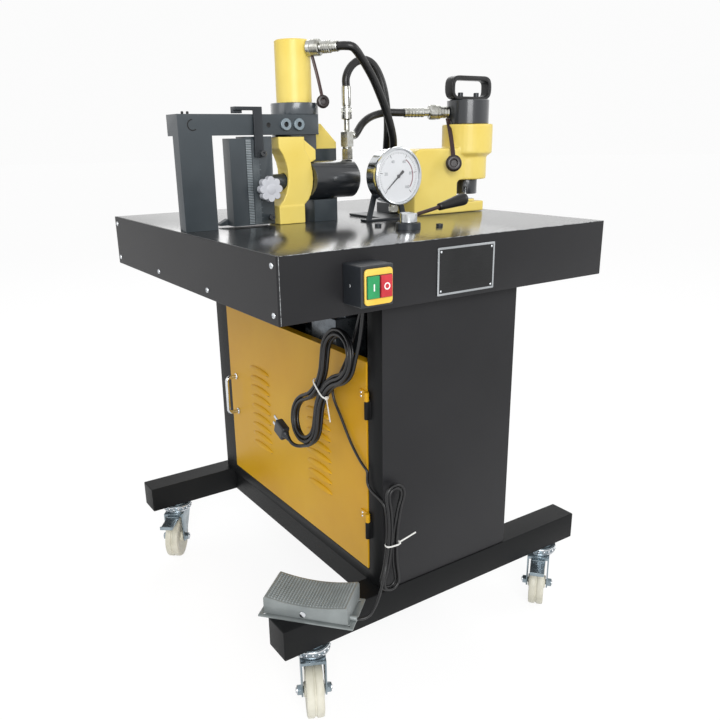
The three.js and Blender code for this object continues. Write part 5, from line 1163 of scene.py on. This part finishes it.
cord_black = surface("cord_black", "08080a", "0f0f11", 0.38, spread=0.07, grain=700, relief=0.06, mottle=40)
mains_spots = placed(mains_dots)
mains = cord_line("mains_lead", mains_spots, MAINS_RADIUS, cord_black, "door", "mains_hank", 12, 3)

plug = bmesh.new()
plug_place = Matrix.Translation(at(*(plug_spot + plug_way * 0.3))) @ Matrix.Rotation(PLUG_TILT, 4, "X")
boot = bmesh.new()
spun(boot, [(3.6, -0.2), (4.2, 0), (4.6, 3), (4.2, 3.6), (5.2, 6), (4.8, 6.6), (6, 9.4), (5.6, 10),
    (7.6, 13), (8.4, 15), (0, 15)], HERE, "y", 36)
moved(boot, plug_place)
piece("plug_boot", boot, moulded_black, "rubber_black", body="door", angle=40)
block(plug, mm(-8.5, 14, -15), mm(8.5, 48, 15))
moved(plug, plug_place)
plug_body = piece("plug_body", plug, moulded_black, "rubber_black", body="door", node="mains_plug",
    soft=4.2, steps=5)
blades = bmesh.new()
for z in (8, -8):
    block(blades, mm(-1, 47.7, z - 3.2), mm(1, 65, z + 3.2))
moved(blades, plug_place)
plug_blades = piece("plug_blades", blades, steel_bright, "zinc", body="door", soft=0.6)

# Foot switch lead: a thin black rubber lead. It hangs on the door from the junction box down to the
# hinge axis, and runs on from there in a hank to the gland of the pedal.
LEAD_ROUTE = [(*FOOT_EXIT, LEAD_TOP), (*FOOT_EXIT, 763.4), (-162, -305, 725), (-162, -276, 660),
    (-162, -238, 600), (-162, -210, 566), (-163, -212, 545), (-163, -238, 510), (-163.5, -275, 466),
    (-163.5, -304, 442), (HINGE_X, HINGE_Y, 430), (HINGE_X, HINGE_Y, 418)]
lead_spots = smooth_run(placed(LEAD_ROUTE), 34)
foot_lead = cord_line("foot_lead_line", lead_spots, FOOT_RADIUS, cord_black, "door", "foot_lead", 12, 4)

FOOT_TOP, FOOT_BOTTOM = Vector((-139, -374, 398)), Vector((-151, -378, 226))
foot_hank = hank_line(FOOT_TOP, FOOT_BOTTOM, Vector(LEFT), Vector(FRONT), 22, 11, 6.2, 77, 0.13)
foot_start = Vector((HINGE_X, HINGE_Y, 417.7))
gland_way = Vector((cos(PEDAL_TURN), sin(PEDAL_TURN), 0))
pedal_in = Vector((-293, -331, 204.5)) + gland_way * 90.3 + Vector((sin(PEDAL_TURN), -cos(PEDAL_TURN),
    0)) * 21
gland_out = pedal_in + gland_way * 2 * FOOT_RADIUS
foot_dots = ([foot_start] + lead_line(foot_start + DOWN * 2 * FOOT_RADIUS, DOWN, foot_hank[0],
    (foot_hank[1] - foot_hank[0]).normalized(), 26) + foot_hank
    + lead_line(foot_hank[-1], (foot_hank[-1] - foot_hank[-2]).normalized(), gland_out, -gland_way, 30)[1:]
    + [gland_out, pedal_in])
foot_spots = placed(foot_dots)
foot_cord = cord_line("foot_switch_lead", foot_spots, FOOT_RADIUS, cord_black, "machine", "foot_hank", 10,
    3)

# Cable ties: white nylon bands drawn tight round the waist of each hank, with a square head and the
# tail that sticks out of it.
tie_white = surface("tie_white", "d6d6d2", "e8e8e4", 0.4, relief=0.04)


def cable_tie(name, centre, across, along, half_wide, half_deep, tail, body):
    """A nylon tie: a flat band round the runs, its square head, and the tail that sticks out."""
    rise = along.cross(across).normalized()
    band = bmesh.new()
    rings = []
    for lift in (-1.6, 1.6):
        for grow in (0, 1.2):
            ring = []
            for i in range(48):
                turn = i / 48 * 2 * pi
                c, s = cos(turn), sin(turn)
                u = (half_wide + grow) * math.copysign(abs(c) ** 0.6, c)
                w = (half_deep + grow) * math.copysign(abs(s) ** 0.6, s)
                ring.append(band.verts.new(at(*(centre + across * u + rise * w + along * lift))))
            rings.append(ring)
    for a, b in ((0, 1), (1, 3), (3, 2), (2, 0)):
        loops = [band.edges.get(pair) or band.edges.new(pair) for ring in (rings[a], rings[b])
            for pair in zip(ring, ring[1:] + ring[:1])]
        bmesh.ops.bridge_loops(band, edges=loops)
    bmesh.ops.recalc_face_normals(band, faces=band.faces)
    head = centre + across * (half_wide + 0.6)
    box_place = Matrix.Translation(at(*head)) @ Matrix((across, rise, along)).transposed().to_4x4()
    verts = block(band, mm(-2, -2.8, -2.8), mm(3, 2.8, 2.8))
    bmesh.ops.transform(band, matrix=box_place, verts=verts)
    way = (tail - head).normalized()
    flat = way.cross(rise).normalized()
    tail_place = Matrix.Translation(at(*head)) @ Matrix((way, flat, way.cross(flat))).transposed().to_4x4()
    verts = block(band, mm(0, -1.6, -0.5), mm((tail - head).length, 1.6, 0.5))
    bmesh.ops.transform(band, matrix=tail_place, verts=verts)
    return piece(name, band, tie_white, "plate_alu", body=body, soft=0.3)


mains_along = (MAINS_TOP - MAINS_BOTTOM).normalized()
mains_across = (Vector(FRONT) - mains_along * Vector(FRONT).dot(mains_along)).normalized()
cable_tie("mains_tie", Vector((-194, -218.5, 569)), mains_across, mains_along, 24.6, 8.4,
    Vector((-206, -268, 520)), "door")
foot_along = (FOOT_TOP - FOOT_BOTTOM).normalized()
foot_across = (Vector((1, 0, 0)) - foot_along * foot_along.x).normalized()
cable_tie("foot_tie", Vector((-145.5, -376.2, 300)), foot_across, foot_along, 14.2, 6.3,
    Vector((-96, -383, 312)), "machine")
